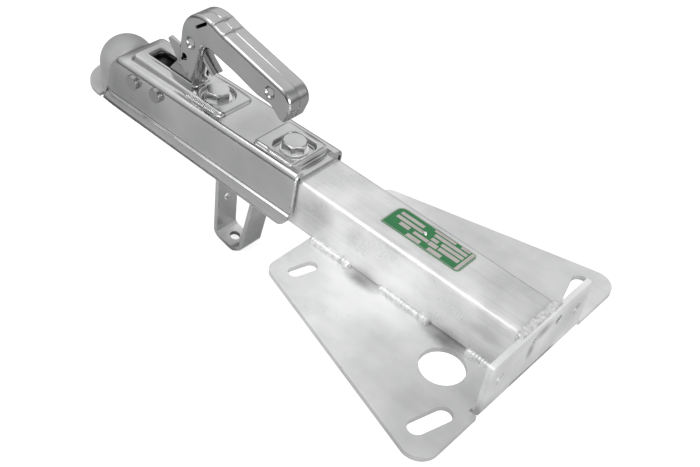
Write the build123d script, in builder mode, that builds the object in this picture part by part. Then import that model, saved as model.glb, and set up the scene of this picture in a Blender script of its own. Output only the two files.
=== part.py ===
from build123d import *
from math import atan, cos, degrees, hypot, radians, sin
import os

os.makedirs("parts", exist_ok=True)

# The coupler stands as it does on the trailer: the drawbar runs along +X from the ball to the base plate.
# The origin is the centre of the ball seat, +Z is up, and everything is in millimetres.

# Driving dimensions of the tow ball and the running clearances
ball_radius = 25.0
ball_clearance = 0.3
running_gap = 0.3
pin_fit = 0.05
bolt_fit = 0.5

# Drawbar tube
tube_size = 60.0
tube_wall = 4.0
tube_corner = 4.5
tube_axis_z = -2.0
tube_front_x = 132.0
tube_top_z = tube_axis_z + tube_size / 2
tube_bottom_z = tube_axis_z - tube_size / 2
tube_half = tube_size / 2

# Base plate with its upright rear flap
plate_thickness = 6.0
plate_front_x = 322.0
plate_rear_x = 579.0
plate_front_width = 184.8
plate_rear_width = 333.8
plate_front_corner = 13.0
plate_rear_corner = 20.0
flap_width = 162.0
flap_corner = 3.0
flap_bend = 7.0
flap_top_z = tube_top_z
relief_width = 4.0
relief_depth = 9.0
drain_width = 73.0
drain_height = 7.0
cable_hole = 10.0
cable_hole_y = 27.0
vent_hole = 5.0
vent_hole_y = -12.0
side_hole = 12.4
side_hole_y = 63.0
side_hole_up = 4.0
plate_hole_diameter = 45.5
plate_hole_x = 522.0
plate_hole_y = 62.0
front_slot_width = 14.0
front_slot_length = 32.0
front_slot_x = 348.6
front_slot_y = 67.5
rear_slot_width = 18.0
rear_slot_length = 47.0
rear_slot_x = 553.0
rear_slot_y = 119.0
plate_top_z = tube_bottom_z
plate_bottom_z = plate_top_z - plate_thickness
flap_inner_x = plate_rear_x - plate_thickness
side_slope = (plate_rear_width - plate_front_width) / 2 / (plate_rear_x - plate_front_x)
side_angle = degrees(atan(side_slope))

# Welds
bead_leg = 7.0
bead_sag = 1.2
bead_start = 2.5
bead_spans = [(324.0, 378.0), (416.0, 480.0), (525.0, 567.0)]
end_bead_leg = 5.0
end_bead_rise = 1.4
end_bead_lap = 3.0

# Housing, stamped from sheet round the tube
sheet = 4.0
dome_wall = 6.2
tube_side_gap = 2.0
housing_corner = 7.4
deck_front_x = 28.0
deck_rear_x = 284.0
deck_front_rise = 2.8
deck_rear_rise = 7.8
land_rise = 9.6
housing_rear_x = 300.0
skirt_front_x = 6.0
skirt_rear_x = 297.0
skirt_corner = 12.0
crease_front_rise = 12.0
crease_rear_rise = 16.0
crease_step = 1.8
skirt_flare = 6.0
skirt_rise = 3.5
nose_radius = 43.5
nose_cut_x = 2.5
land_taper = 35.0
land_foot = 4.0
land_edge = 4.0
land_root = 3.0
pocket_edge = 1.5
band_root = 2.0
lip_edge = 0.9
dome_blend = 6.0
housing_half = tube_half + tube_side_gap + sheet
deck_front_z = tube_top_z + deck_front_rise
deck_rear_z = tube_top_z + deck_rear_rise
land_top_z = tube_top_z + land_rise
crease_front_z = tube_bottom_z + crease_front_rise
crease_rear_z = tube_bottom_z + crease_rear_rise
skirt_half = housing_half + skirt_flare
skirt_bottom_z = tube_bottom_z + skirt_rise
slot_front_x = 47.0
slot_rear_x = 125.0
slot_half = 9.8
slot_corner = 3.0
slot_lip = 2.6
slot_lip_rise = 1.3
front_land = (37.0, 179.0, 22.0)
rear_land = (231.0, 285.0, 25.5)
land_corner = 9.0
pocket_size = 36.0
front_pocket_corner = 16.0
rear_pocket_corner = 9.0
rear_band_x = 290.5
rear_band_half = 24.0

# Bolts M16 through housing and tube, washers, sleeves and nuts
bolt_diameter = 16.0
bolt_flats = 24.0
bolt_head = 10.0
front_bolt_x = 150.0
rear_bolt_x = 263.6
washer_diameter = 30.0
washer_thickness = 2.0
sleeve_diameter = 26.0
nut_height = 13.0
thread_end = 5.0
seat_z = tube_top_z + sheet
head_seat_z = seat_z + washer_thickness

# Bent loop under the tube
loop_width = 30.0
loop_thickness = 5.0
loop_front_back = 17.0
loop_rear_ahead = 32.1
loop_taper = 18.5
loop_drop = 117.0
loop_heel = 8.0
loop_foot_reach = 18.0
loop_foot_bend = 2.0
loop_base_bend = 6.0
loop_side_hole = 10.0
loop_side_hole_up = 57.4
loop_base_hole = 12.0
loop_base_hole_back = 20.0
loop_front_x = front_bolt_x + loop_front_back
loop_rear_x = rear_bolt_x - loop_rear_ahead
loop_low_rear_x = loop_rear_x - loop_taper
loop_bottom_z = tube_bottom_z - loop_drop
loop_side_hole_z = loop_bottom_z + loop_side_hole_up
loop_base_hole_x = loop_front_x + loop_base_hole_back

# Cross pins of jaw and handle
pin_diameter = 12.0
pin_head_diameter = 17.0
pin_head = 4.5
pin_dish = 0.6
pin_spring_gap = 1.2
jaw_pin_back = 30.0
jaw_pin_z = 17.0
pin_distance = 38.0
pin_step = 3.5
jaw_pin_x = ball_radius + jaw_pin_back
lever_pin_x = jaw_pin_x + pin_distance
lever_pin_z = jaw_pin_z + pin_step

# Ball jaw
jaw_half = 20.5
jaw_hub_radius = 12.0
jaw_lip_angle = -50.0
jaw_lip_thickness = 5.0

# Handle shell, folded sheet; its places are counted back and up from the rear pivot pin
shell_sheet = 2.5
shell_half = 15.5
shell_edge = 4.5
roll_radius = 7.7
roll_side_gap = 0.4
foot_back = 9.8
foot_up = 43.5
bend_back = 17.7
bend_up = 116.0
handle_bend_radius = 35.0
spine_run = 42.3
spine_drop = 6.5
saddle_run = 15.0
saddle_drop = 5.1
tip_back = 178.0
tip_up = 81.5
handle_tip_radius = 17.5
hook_drop = 35.7
hook_lip = 5.5
hook_nose = 5.0
crook_back = 43.6
crook_up = 79.4
crook_radius = 15.0
arch_radius = 7.0
belly_share = 0.36
belly_drop = 9.6
hook_front_share = 0.387
hook_front_drop = 21.5
hook_rear_share = 0.238
hook_rear_drop = 22.5
hook_heel_share = 0.134
hook_heel_drop = 33.5
leg_foot_back = 32.2
leg_foot_up = 22.6
catch_pin_back = 28.6
catch_pin_up = 72.0
catch_pin_diameter = 8.0
grip_pin_share = 0.25
grip_pin_drop = 7.4
dimple_radius = 7.5
dimple_floor_radius = 5.2
rivet_flange = 2.0
cheek_slot_length = 20.0
cheek_slot_width = 3.6
cheek_slot_back = 27.3
cheek_slot_drop = 15.0
keyhole_radius = 4.2
keyhole_back = 10.6
keyhole_up = 7.8
keyway_length = 6.0
keyway_width = 3.4
keyway_drop = 3.4
handle_foot_x = lever_pin_x + foot_back
handle_foot_z = lever_pin_z + foot_up
handle_bend_x = lever_pin_x + bend_back
handle_bend_z = lever_pin_z + bend_up
handle_tip_x = lever_pin_x + tip_back
handle_tip_z = lever_pin_z + tip_up
crook_x = lever_pin_x + crook_back
crook_z = lever_pin_z + crook_up
leg_foot_x = lever_pin_x + leg_foot_back
leg_foot_z = lever_pin_z + leg_foot_up
grip_length = handle_tip_x - crook_x
belly_x = crook_x + belly_share * grip_length
belly_z = crook_z - belly_drop
hook_front_x = handle_tip_x - hook_front_share * grip_length
hook_rear_x = handle_tip_x - hook_rear_share * grip_length
hook_heel_x = handle_tip_x - hook_heel_share * grip_length
catch_pin_x = lever_pin_x + catch_pin_back
catch_pin_z = lever_pin_z + catch_pin_up
grip_pin_x = handle_tip_x - grip_pin_share * grip_length
grip_pin_z = handle_tip_z - grip_pin_drop

# Lever arm
lever_half = 9.0
lever_plate = 3.5
lever_hub_radius = 13.0
lever_eye_radius = 10.0
nose_ahead = 21.5
nose_drop = 17.0
nose_tip_radius = 4.8
finger_ahead = 12.8
finger_up = 54.5
nose_x = lever_pin_x - nose_ahead
nose_z = lever_pin_z - nose_drop
finger_tip = (lever_pin_x - finger_ahead, lever_pin_z + finger_up)

# Safety catch
catch_half = 7.0
catch_arm_half = 4.6
catch_sheet = 2.5
catch_hub_radius = 7.0
toe_gap = 0.6
toe_width = 6.0
toe_up = 10.5
tongue_back = 29.9
tongue_drop = 26.5
tongue_depth = 7.0
tongue_fold = 5.5
toe_z = lever_pin_z + toe_up

# Torsion springs
spring_wire = 2.0
pin_coil = 9.0
pin_spring_leg = 18.0
catch_coil = 4.0
catch_spring_leg = 9.0

# Type plate
type_plate_length = 94.6
type_plate_width = 32.0
type_plate_thickness = 0.6
type_plate_x = 438.3
type_plate_y = 5.5
type_plate_corner = 2.0
type_rivet_x = 432.0
type_rivet_y = 7.6
type_rivet_radius = 2.4

cup_radius = ball_radius + ball_clearance
dome_radius = cup_radius + dome_wall
deck_slope = (deck_rear_z - deck_front_z) / (deck_rear_x - deck_front_x)
bolt_places = [front_bolt_x, rear_bolt_x]
pocket_corners = [front_pocket_corner, rear_pocket_corner]
shell_inner = shell_half - shell_sheet
leg_cut_x = crook_x + crook_radius + shell_sheet
roll_gap = 2 * (catch_half + roll_side_gap)
dimple_depth = shell_inner - lever_half


def deck_z(x):
    """Height of the plain deck at a place along the housing."""
    return deck_front_z + deck_slope * (x - deck_front_x)


def at_height(z):
    """Filter for the edges whose middle lies at that height."""
    return lambda edge: abs((edge @ 0.5).Z - z) < 0.02


def on_land_root(edge):
    """True for an edge where a land rises from the plain deck."""
    middle = edge @ 0.5
    on_deck = abs(middle.Z - deck_z(middle.X)) < 0.05 and middle.X > front_land[0] - land_foot
    return on_deck and abs(middle.Y) < housing_half - housing_corner - 0.5


def on_dome_seam(edge):
    """True for an edge in which the dome meets the channel behind it."""
    middle = edge @ 0.5
    return abs(middle.length - dome_radius) < 0.05 and middle.X > 0 and middle.Z > 0


def save(builder, name):
    """Label a finished piece and write its file."""
    builder.part.label = name
    export_step(builder.part, f"parts/{name}.step")


# Drawbar tube with its bolt holes
with BuildPart() as drawbar_tube:
    with BuildSketch(Plane.YZ.offset(tube_front_x)):
        with Locations((0, tube_axis_z)):
            RectangleRounded(tube_size, tube_size, tube_corner)
            inner_size = tube_size - 2 * tube_wall
            RectangleRounded(inner_size, inner_size, 1.0, mode=Mode.SUBTRACT)
    extrude(amount=flap_inner_x - tube_front_x)
    with BuildSketch(Plane.XY.offset(tube_top_z)):
        with Locations(*[(x, 0) for x in bolt_places]):
            Circle(bolt_diameter / 2 + bolt_fit)
    extrude(amount=-tube_size, mode=Mode.SUBTRACT)
save(drawbar_tube, "drawbar_tube")


# Base plate: a sheet that widens to the rear and is bent up into the flap
with BuildPart() as base_plate:
    with BuildSketch(Plane.XY.offset(plate_bottom_z)):
        with BuildLine():
            Polyline(
                (plate_front_x, -plate_front_width / 2),
                (plate_rear_x, -plate_rear_width / 2),
                (plate_rear_x, plate_rear_width / 2),
                (plate_front_x, plate_front_width / 2),
                close=True,
            )
        make_face()
        corners = vertices().sort_by(Axis.X)
        fillet(corners[:2], plate_front_corner)
        fillet(vertices().sort_by(Axis.X)[-2:], plate_rear_corner)
    extrude(amount=plate_thickness)
    with BuildSketch(Plane.YZ.offset(flap_inner_x)):
        with Locations((0, (flap_top_z + plate_bottom_z) / 2)):
            Rectangle(flap_width, flap_top_z - plate_bottom_z)
        fillet(vertices().group_by(Axis.Y)[-1], flap_corner)
    extrude(amount=plate_thickness)
    with BuildSketch(Plane.XY.offset(plate_bottom_z)):
        with Locations(*[(plate_rear_x, side * (flap_width + relief_width) / 2) for side in (-1, 1)]):
            Rectangle(2 * relief_depth, relief_width)
    extrude(amount=flap_top_z - plate_bottom_z, mode=Mode.SUBTRACT)
    bend_edge = edges().filter_by(Axis.Y).filter_by(
        lambda e: abs(e.center().X - plate_rear_x) < 0.1
        and abs(e.center().Z - plate_bottom_z) < 0.1
        and abs(e.center().Y) < 1
    )
    fillet(bend_edge, flap_bend)
    with BuildSketch(Plane.YZ.offset(flap_inner_x)):
        with Locations((0, plate_top_z - 2 + drain_height / 2)):
            SlotOverall(drain_width, drain_height)
        with Locations((cable_hole_y, tube_axis_z + tube_size / 4)):
            Circle(cable_hole / 2)
        with Locations((vent_hole_y, tube_axis_z + tube_size / 4)):
            Circle(vent_hole / 2)
        with Locations(*[(side * side_hole_y, tube_axis_z + side_hole_up) for side in (-1, 1)]):
            Circle(side_hole / 2)
    extrude(amount=plate_thickness, mode=Mode.SUBTRACT)
    with BuildSketch(Plane.XY.offset(plate_top_z)):
        with Locations((plate_hole_x, plate_hole_y), (plate_hole_x, -plate_hole_y)):
            Circle(plate_hole_diameter / 2)
        for side in (-1, 1):
            with Locations(Location((front_slot_x, side * front_slot_y), side * (90 + side_angle))):
                SlotOverall(front_slot_length, front_slot_width)
            with Locations(Location((rear_slot_x, side * rear_slot_y), side * (90 + side_angle))):
                SlotOverall(rear_slot_length, rear_slot_width)
    extrude(amount=-plate_thickness, mode=Mode.SUBTRACT)
save(base_plate, "base_plate")


# Weld beads along both feet of the tube
with BuildPart() as plate_welds:
    for side in (-1, 1):
        for start, end in bead_spans:
            with BuildSketch(Plane.YZ.offset(start)):
                with BuildLine():
                    foot = side * (tube_half - bead_start)
                    toe = (side * (tube_half + bead_leg), plate_top_z)
                    top = (side * tube_half, plate_top_z + bead_leg)
                    Line((foot, plate_top_z), toe)
                    SagittaArc(toe, top, side * bead_sag)
                    Line(top, (foot, plate_top_z + bead_leg))
                    Line((foot, plate_top_z + bead_leg), (foot, plate_top_z))
                make_face()
                with Locations((0, tube_axis_z)):
                    RectangleRounded(tube_size, tube_size, tube_corner, mode=Mode.SUBTRACT)
            extrude(amount=end - start)
save(plate_welds, "plate_welds")


# Weld over the tube's rear end: a bevelled collar on three sides, lapping onto the flap's top edge
with BuildPart() as end_weld:
    for x, leg in ((flap_inner_x, end_bead_leg), (flap_inner_x - end_bead_leg, 0.8)):
        with BuildSketch(Plane.YZ.offset(x)):
            with Locations((0, tube_axis_z)):
                RectangleRounded(tube_size + 2 * leg, tube_size + 2 * leg, tube_corner + leg)
    loft()
    with BuildSketch(Plane.YZ.offset(flap_inner_x)):
        with Locations((0, tube_axis_z)):
            RectangleRounded(tube_size, tube_size, tube_corner)
    extrude(amount=-2 * end_bead_leg, mode=Mode.SUBTRACT)
    with BuildSketch(Plane.XY.offset(flap_top_z)):
        with Locations((flap_inner_x - end_bead_leg / 2 + end_bead_lap / 2, 0)):
            RectangleRounded(end_bead_leg + end_bead_lap, tube_size + end_bead_leg, 2.0)
    extrude(amount=end_bead_rise)
    split(bisect_by=Plane.XY.offset(flap_top_z + end_bead_rise), keep=Keep.BOTTOM)
    split(bisect_by=Plane.XY.offset(plate_top_z + bead_leg), keep=Keep.TOP)
save(end_weld, "end_weld")


# Housing outline seen from the side: front curve, deck, rear edge
def housing_profile(inset):
    """Side outline of the channel, moved inwards by the sheet for the hollow."""
    front = 5.0 + inset
    rear = housing_rear_x if inset == 0 else housing_rear_x + tube_size
    low = skirt_bottom_z if inset == 0 else skirt_bottom_z - sheet
    top_front = deck_front_z - inset
    top_rear = deck_z(rear) - inset
    with BuildSketch(Plane.XZ) as profile:
        with BuildLine():
            Line((front - 3, low), (front, -2))
            Spline(
                (front, -2),
                (front + 3.2, 12),
                (front + 13, 25 - inset),
                (deck_front_x + inset / 2, top_front),
                tangents=[(0.2, 1), (1, deck_slope)],
            )
            Line((deck_front_x + inset / 2, top_front), (rear, top_rear))
            Line((rear, top_rear), (rear - 3 * (inset == 0), low))
            Line((rear - 3 * (inset == 0), low), (front - 3, low))
        make_face()
    return profile.sketch


def land_plan(land, inset):
    """Plan of a raised part of the deck at its foot, or of its hollow below."""
    front, rear, half = land
    with BuildSketch(Plane.XY.offset(deck_front_z - inset)) as plan:
        with Locations(((front + rear) / 2, 0)):
            size = (rear - front + 2 * (land_foot - inset), 2 * (half + land_foot - inset))
            RectangleRounded(*size, land_corner)
    return plan.sketch


def pocket_plan(grow):
    """Rounded squares round the bolts, grown by the sheet for the pockets' outer walls."""
    for x, corner in zip(bolt_places, pocket_corners):
        with Locations((x, 0)):
            RectangleRounded(pocket_size + 2 * grow, pocket_size + 2 * grow, corner + grow)


def rear_band_profile(grow):
    """Side outline of the step down at the housing's rear edge."""
    slope = land_top_z + 4 - seat_z
    with BuildSketch(Plane.XZ) as profile:
        with BuildLine():
            Polyline(
                (rear_band_x - grow, seat_z - grow),
                (housing_rear_x + 2 * sheet, seat_z - grow),
                (housing_rear_x + 2 * sheet, land_top_z + 4),
                (rear_band_x - grow - slope, land_top_z + 4),
                close=True,
            )
        make_face()
    return profile.sketch


# The closed hollow of the housing, without the pressed-in pockets
with BuildPart() as housing_hollow:
    extrude(housing_profile(sheet), amount=housing_half - sheet, both=True)
    fillet(
        edges().filter_by(lambda e: abs(abs(e.center().Y) - housing_half + sheet) < 0.01)
        .filter_by(lambda e: e.center().Z > deck_front_z - sheet - 1),
        housing_corner - sheet,
    )
    for land in (front_land, rear_land):
        extrude(land_plan(land, sheet), amount=land_top_z - deck_front_z, taper=land_taper)
    with BuildSketch(Plane.XY.offset(tube_top_z)):
        pocket_plan(sheet)
    extrude(amount=tube_size, mode=Mode.SUBTRACT)
    extrude(rear_band_profile(sheet), amount=rear_band_half + sheet, both=True, mode=Mode.SUBTRACT)


def skirt_section(x, crease_z, inset):
    """Cross section of the flared skirts, or of the hollow between them."""
    low = skirt_bottom_z - 0.01 * inset
    upper = housing_half + (crease_step if inset == 0 else -inset)
    lower = skirt_half - inset
    with BuildSketch(Plane.YZ.offset(x)) as section:
        with BuildLine():
            Polyline((-lower, low), (-upper, crease_z), (upper, crease_z), (lower, low), close=True)
        make_face()
    return section.sketch


def skirt_sections(inset):
    """The cross sections at both ends of the skirts."""
    ends = ((skirt_front_x, crease_front_z), (skirt_rear_x + 6, crease_rear_z))
    return [skirt_section(x, crease_z, inset) for x, crease_z in ends]


with BuildPart() as skirt_hollow:
    loft(skirt_sections(sheet), ruled=True)

with BuildPart() as skirts:
    loft(skirt_sections(0), ruled=True)
    long_edges = edges().filter_by(lambda e: abs(e.tangent_at(0.5).X) > 0.9)
    fillet(long_edges.group_by(Axis.Z)[-1], 1.2)


with BuildPart() as housing:
    extrude(housing_profile(0), amount=housing_half, both=True)
    fillet(
        edges().filter_by(lambda e: abs(abs(e.center().Y) - housing_half) < 0.01)
        .filter_by(lambda e: e.center().Z > -16 and e.center().X < housing_rear_x - 4),
        housing_corner,
    )
    add(skirts.part)
    with BuildSketch(Plane.XZ):
        with BuildLine():
            Polyline(
                (-nose_radius, skirt_bottom_z),
                (skirt_rear_x, skirt_bottom_z),
                (housing_rear_x, land_top_z),
                (housing_rear_x, 2 * land_top_z),
                (-nose_radius, 2 * land_top_z),
                close=True,
            )
        make_face()
        fillet(vertices().sort_by(Axis.Y)[:2].sort_by(Axis.X)[-1:], skirt_corner)
    extrude(amount=2 * nose_radius, both=True, mode=Mode.INTERSECT)
    for land in (front_land, rear_land):
        extrude(land_plan(land, 0), amount=land_top_z - deck_front_z, taper=land_taper)
    fillet(edges().filter_by(at_height(land_top_z)), land_edge)
    fillet(edges().filter_by(on_land_root), land_root)
    # Dome and nose flange
    with BuildSketch(Plane.XY.offset(skirt_bottom_z)):
        Circle(dome_radius)
    extrude(amount=-skirt_bottom_z)
    Sphere(dome_radius)
    fillet(edges().filter_by(on_dome_seam), dome_blend)
    with BuildSketch(Plane.XY.offset(skirt_bottom_z)):
        Circle(nose_radius)
        with Locations((nose_cut_x + nose_radius, 0)):
            Rectangle(2 * nose_radius, 3 * nose_radius, mode=Mode.SUBTRACT)
        with Locations((0, 0)):
            Rectangle(6 * sheet, 2 * (housing_half + 1.5))
    extrude(amount=sheet)
    # Lip round the top slot
    with BuildSketch(Plane.XY.offset(land_top_z)):
        with Locations(((slot_front_x + slot_rear_x) / 2, 0)):
            lip_length = slot_rear_x - slot_front_x + 2 * slot_lip
            RectangleRounded(lip_length, 2 * (slot_half + slot_lip), slot_corner + slot_lip)
    extrude(amount=slot_lip_rise, taper=20)
    fillet(edges().filter_by(at_height(land_top_z + slot_lip_rise)), lip_edge)
    # Pressed-in pockets and rear band
    with BuildSketch(Plane.XY.offset(seat_z)):
        pocket_plan(0)
    extrude(amount=tube_size, taper=-8, mode=Mode.SUBTRACT)
    for x in bolt_places:
        in_pocket = edges().filter_by(
            lambda e: abs((e @ 0.5).X - x) < pocket_size / 2 + 2 and abs((e @ 0.5).Y) < pocket_size / 2 + 2
        )
        fillet(in_pocket.filter_by(at_height(land_top_z)), pocket_edge)
    fillet(edges().filter_by(at_height(seat_z)), pocket_edge)
    extrude(rear_band_profile(0), amount=rear_band_half, both=True, mode=Mode.SUBTRACT)
    band_root_edge = edges().filter_by(at_height(seat_z)).filter_by(Axis.Y).group_by(Axis.X)[-2]
    fillet(band_root_edge, band_root)
    # Hollow, ball cup and openings
    add(housing_hollow.part, mode=Mode.SUBTRACT)
    add(skirt_hollow.part, mode=Mode.SUBTRACT)
    Sphere(cup_radius, mode=Mode.SUBTRACT)
    with BuildSketch(Plane.XY):
        Circle(cup_radius)
    extrude(amount=2 * skirt_bottom_z, mode=Mode.SUBTRACT)
    with BuildSketch(Plane.XY.offset(tube_top_z - tube_half)):
        with Locations(((slot_front_x + slot_rear_x) / 2, 0)):
            RectangleRounded(slot_rear_x - slot_front_x, 2 * slot_half, slot_corner)
    extrude(amount=tube_size, mode=Mode.SUBTRACT)
    with BuildSketch(Plane.XY.offset(seat_z)):
        with Locations(*[(x, 0) for x in bolt_places]):
            Circle(bolt_diameter / 2 + bolt_fit)
    extrude(amount=-2 * sheet, mode=Mode.SUBTRACT)
    with BuildSketch(Plane.XZ):
        with Locations((jaw_pin_x, jaw_pin_z), (lever_pin_x, lever_pin_z)):
            Circle(pin_diameter / 2 + pin_fit)
    extrude(amount=2 * housing_half, both=True, mode=Mode.SUBTRACT)
save(housing, "housing")


# Bolts, washers, sleeves and nuts
grip_bottom_z = tube_bottom_z - loop_thickness
nut_top_z = grip_bottom_z - washer_thickness
for name, x, turn in (("front_bolt", front_bolt_x, 15), ("rear_bolt", rear_bolt_x, 0)):
    with BuildPart() as bolt:
        with BuildSketch(Plane.XY.offset(head_seat_z)):
            with Locations((x, 0)):
                RegularPolygon(bolt_flats / 2, 6, major_radius=False, rotation=turn)
        extrude(amount=bolt_head)
        with BuildSketch(Plane.XY.offset(head_seat_z + bolt_head)):
            with Locations((x, 0)):
                Circle(bolt_flats / 2 - 0.4)
        extrude(amount=-bolt_head, taper=-60, mode=Mode.INTERSECT)
        with BuildSketch(Plane.XY.offset(head_seat_z)):
            with Locations((x, 0)):
                Circle(bolt_diameter / 2)
        extrude(amount=nut_top_z - nut_height - thread_end - head_seat_z)
    save(bolt, name)

for name, x in (("front_washer", front_bolt_x), ("rear_washer", rear_bolt_x)):
    with BuildPart() as washer:
        with BuildSketch(Plane.XY.offset(seat_z)):
            with Locations((x, 0)):
                Circle(washer_diameter / 2)
                Circle(bolt_diameter / 2 + bolt_fit, mode=Mode.SUBTRACT)
        extrude(amount=washer_thickness)
    save(washer, name)

with BuildPart() as lower_washers:
    with BuildSketch(Plane.XY.offset(nut_top_z)):
        with Locations(*[(x, 0) for x in bolt_places]):
            Circle(washer_diameter / 2)
            Circle(bolt_diameter / 2 + bolt_fit, mode=Mode.SUBTRACT)
    extrude(amount=washer_thickness)
save(lower_washers, "lower_washers")

with BuildPart() as lock_nuts:
    with BuildSketch(Plane.XY.offset(nut_top_z)):
        with Locations(*[(x, 0) for x in bolt_places]):
            RegularPolygon(bolt_flats / 2, 6, major_radius=False)
            Circle(bolt_diameter / 2, mode=Mode.SUBTRACT)
    extrude(amount=-nut_height)
save(lock_nuts, "lock_nuts")

with BuildPart() as tube_spacers:
    with BuildSketch(Plane.XY.offset(tube_bottom_z + tube_wall)):
        with Locations(*[(x, 0) for x in bolt_places]):
            Circle(sleeve_diameter / 2)
            Circle(bolt_diameter / 2 + bolt_fit, mode=Mode.SUBTRACT)
    extrude(amount=tube_size - 2 * tube_wall)
save(tube_spacers, "tube_spacers")


# Loop bent from flat bar, its feet held by the two bolts
with BuildPart() as cable_loop:
    with BuildSketch(Plane.XZ):
        with BuildLine():
            loop_top = tube_bottom_z
            FilletPolyline(
                (front_bolt_x - loop_foot_reach, loop_top),
                (loop_front_x + loop_thickness, loop_top),
                (loop_front_x + loop_thickness, loop_bottom_z + 2 * loop_thickness),
                (loop_low_rear_x - 2 * loop_heel, loop_bottom_z + loop_thickness),
                (loop_low_rear_x - loop_thickness, loop_bottom_z + loop_thickness + loop_heel),
                (loop_rear_x - loop_thickness, loop_top),
                (rear_bolt_x + loop_foot_reach, loop_top),
                radius=[loop_foot_bend] + 3 * [loop_base_bend] + [loop_foot_bend],
            )
            offset(amount=loop_thickness, side=Side.RIGHT)
        make_face()
    extrude(amount=loop_width / 2, both=True)
    with BuildSketch(Plane.XY.offset(loop_top)):
        with Locations(*[(x, 0) for x in bolt_places]):
            Circle(bolt_diameter / 2 + bolt_fit)
    extrude(amount=-2 * loop_thickness, mode=Mode.SUBTRACT)
    with BuildSketch(Plane.YZ.offset(loop_front_x - loop_thickness)):
        with Locations((0, loop_side_hole_z)):
            Circle(loop_side_hole / 2)
    extrude(amount=3 * loop_thickness, mode=Mode.SUBTRACT)
    with BuildSketch(Plane.XY.offset(loop_bottom_z - loop_thickness)):
        with Locations((loop_base_hole_x, 0)):
            Circle(loop_base_hole / 2)
    extrude(amount=4 * loop_thickness, mode=Mode.SUBTRACT)
save(cable_loop, "cable_loop")


# Cross pins with a head on each wall of the housing
for name, x, z in (
    ("front_pivot_pin", jaw_pin_x, jaw_pin_z),
    ("rear_pivot_pin", lever_pin_x, lever_pin_z),
):
    with BuildPart() as pin:
        with BuildSketch(Plane.XZ):
            with Locations((x, z)):
                Circle(pin_diameter / 2)
        extrude(amount=housing_half + pin_head, both=True)
        for side in (-1, 1):
            with BuildSketch(Plane.XZ.offset(side * housing_half)):
                with Locations((x, z)):
                    Circle(pin_head_diameter / 2)
            extrude(amount=side * pin_head)
        rims = edges().filter_by(GeomType.CIRCLE).filter_by(
            lambda e: abs(e.center().Y) > housing_half + pin_head - 0.1 and e.radius > pin_diameter / 2 + 1
        )
        chamfer(rims, pin_dish)
    save(pin, name)


# Ball jaw: a hub behind the ball and a claw whose hollow face follows it
lip = radians(jaw_lip_angle)
lip_reach = cup_radius + jaw_lip_thickness
with BuildPart() as ball_jaw:
    with BuildSketch(Plane.XZ):
        with BuildLine():
            Polyline(
                (cup_radius * cos(lip) * 0.98, cup_radius * sin(lip) * 0.98),
                (lip_reach * cos(lip), lip_reach * sin(lip)),
                (jaw_pin_x - 22, jaw_pin_z - 38),
                (jaw_pin_x - 6, jaw_pin_z - 27),
                (jaw_pin_x + 9, jaw_pin_z - 18),
                (jaw_pin_x + jaw_hub_radius, jaw_pin_z),
                (jaw_pin_x - 2, jaw_pin_z + jaw_hub_radius - 2),
                (jaw_pin_x - 20, jaw_pin_z + 4),
                (jaw_pin_x - 32, jaw_pin_z - 6),
                close=True,
            )
        make_face()
        fillet(vertices().sort_by(Axis.X)[-4:-3], 2.0)
        with Locations((jaw_pin_x, jaw_pin_z)):
            Circle(jaw_hub_radius)
    extrude(amount=jaw_half, both=True)
    Sphere(cup_radius, mode=Mode.SUBTRACT)
    with BuildSketch(Plane.XZ):
        with Locations((jaw_pin_x, jaw_pin_z)):
            Circle(pin_diameter / 2 + pin_fit)
    extrude(amount=2 * jaw_half, both=True, mode=Mode.SUBTRACT)
save(ball_jaw, "ball_jaw")


# Side outline of the handle: the hooked grip and the leg with its crook between them
def handle_outline(inset=0.0):
    """Closed outline of the whole handle, moved inwards for its hollow."""
    foot = (handle_foot_x, handle_foot_z)
    tip = (hook_heel_x + hook_lip, handle_tip_z - hook_drop)
    back = [
        (handle_bend_x, handle_bend_z),
        (handle_bend_x + spine_run, handle_bend_z - spine_drop),
        (handle_bend_x + spine_run + saddle_run, handle_bend_z - spine_drop - saddle_drop),
        (handle_tip_x, handle_tip_z),
    ]
    belly = [
        (hook_heel_x, handle_tip_z - hook_heel_drop),
        (hook_rear_x, handle_tip_z - hook_rear_drop),
        (hook_front_x, handle_tip_z - hook_front_drop),
        (belly_x, belly_z),
        (crook_x, crook_z),
    ]
    with BuildSketch(Plane.XZ) as outline:
        with BuildLine():
            FilletPolyline(foot, *back, tip, radius=[handle_bend_radius, 40, 40, handle_tip_radius])
            FilletPolyline(tip, *belly, (leg_foot_x, leg_foot_z), radius=[3, 8, 30, 40, crook_radius])
            Line((leg_foot_x, leg_foot_z), foot)
        make_face()
        if inset:
            offset(amount=-inset)
    return outline.sketch


def leg_outline(inset=0.0):
    """Outline of the leg up to a little beyond the crook, with sharp ends."""
    cut_low = (leg_cut_x, crook_z - belly_drop * (leg_cut_x - crook_x) / (belly_x - crook_x))
    cut_high = (leg_cut_x, handle_bend_z - spine_drop * (leg_cut_x - handle_bend_x) / spine_run)
    with BuildSketch(Plane.XZ) as outline:
        with BuildLine():
            FilletPolyline((leg_foot_x, leg_foot_z), (crook_x, crook_z), cut_low, radius=crook_radius)
            Line(cut_low, cut_high)
            FilletPolyline(
                cut_high, (handle_bend_x, handle_bend_z), (handle_foot_x, handle_foot_z),
                radius=handle_bend_radius,
            )
            Line((handle_foot_x, handle_foot_z), (leg_foot_x, leg_foot_z))
        make_face()
        if inset:
            offset(amount=-inset)
    return outline.sketch


def is_side_edge(edge, half):
    """True for an edge that lies in one of the two cheek faces."""
    return abs(abs(edge.center().Y) - half) < 0.01


def on_rear_border(edge):
    """True on the back of the leg and on the crook, where the cheeks are rolled inwards."""
    middle = edge.center()
    return middle.Z < crook_z + 1 and leg_foot_x < middle.X < leg_cut_x - 0.5


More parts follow.
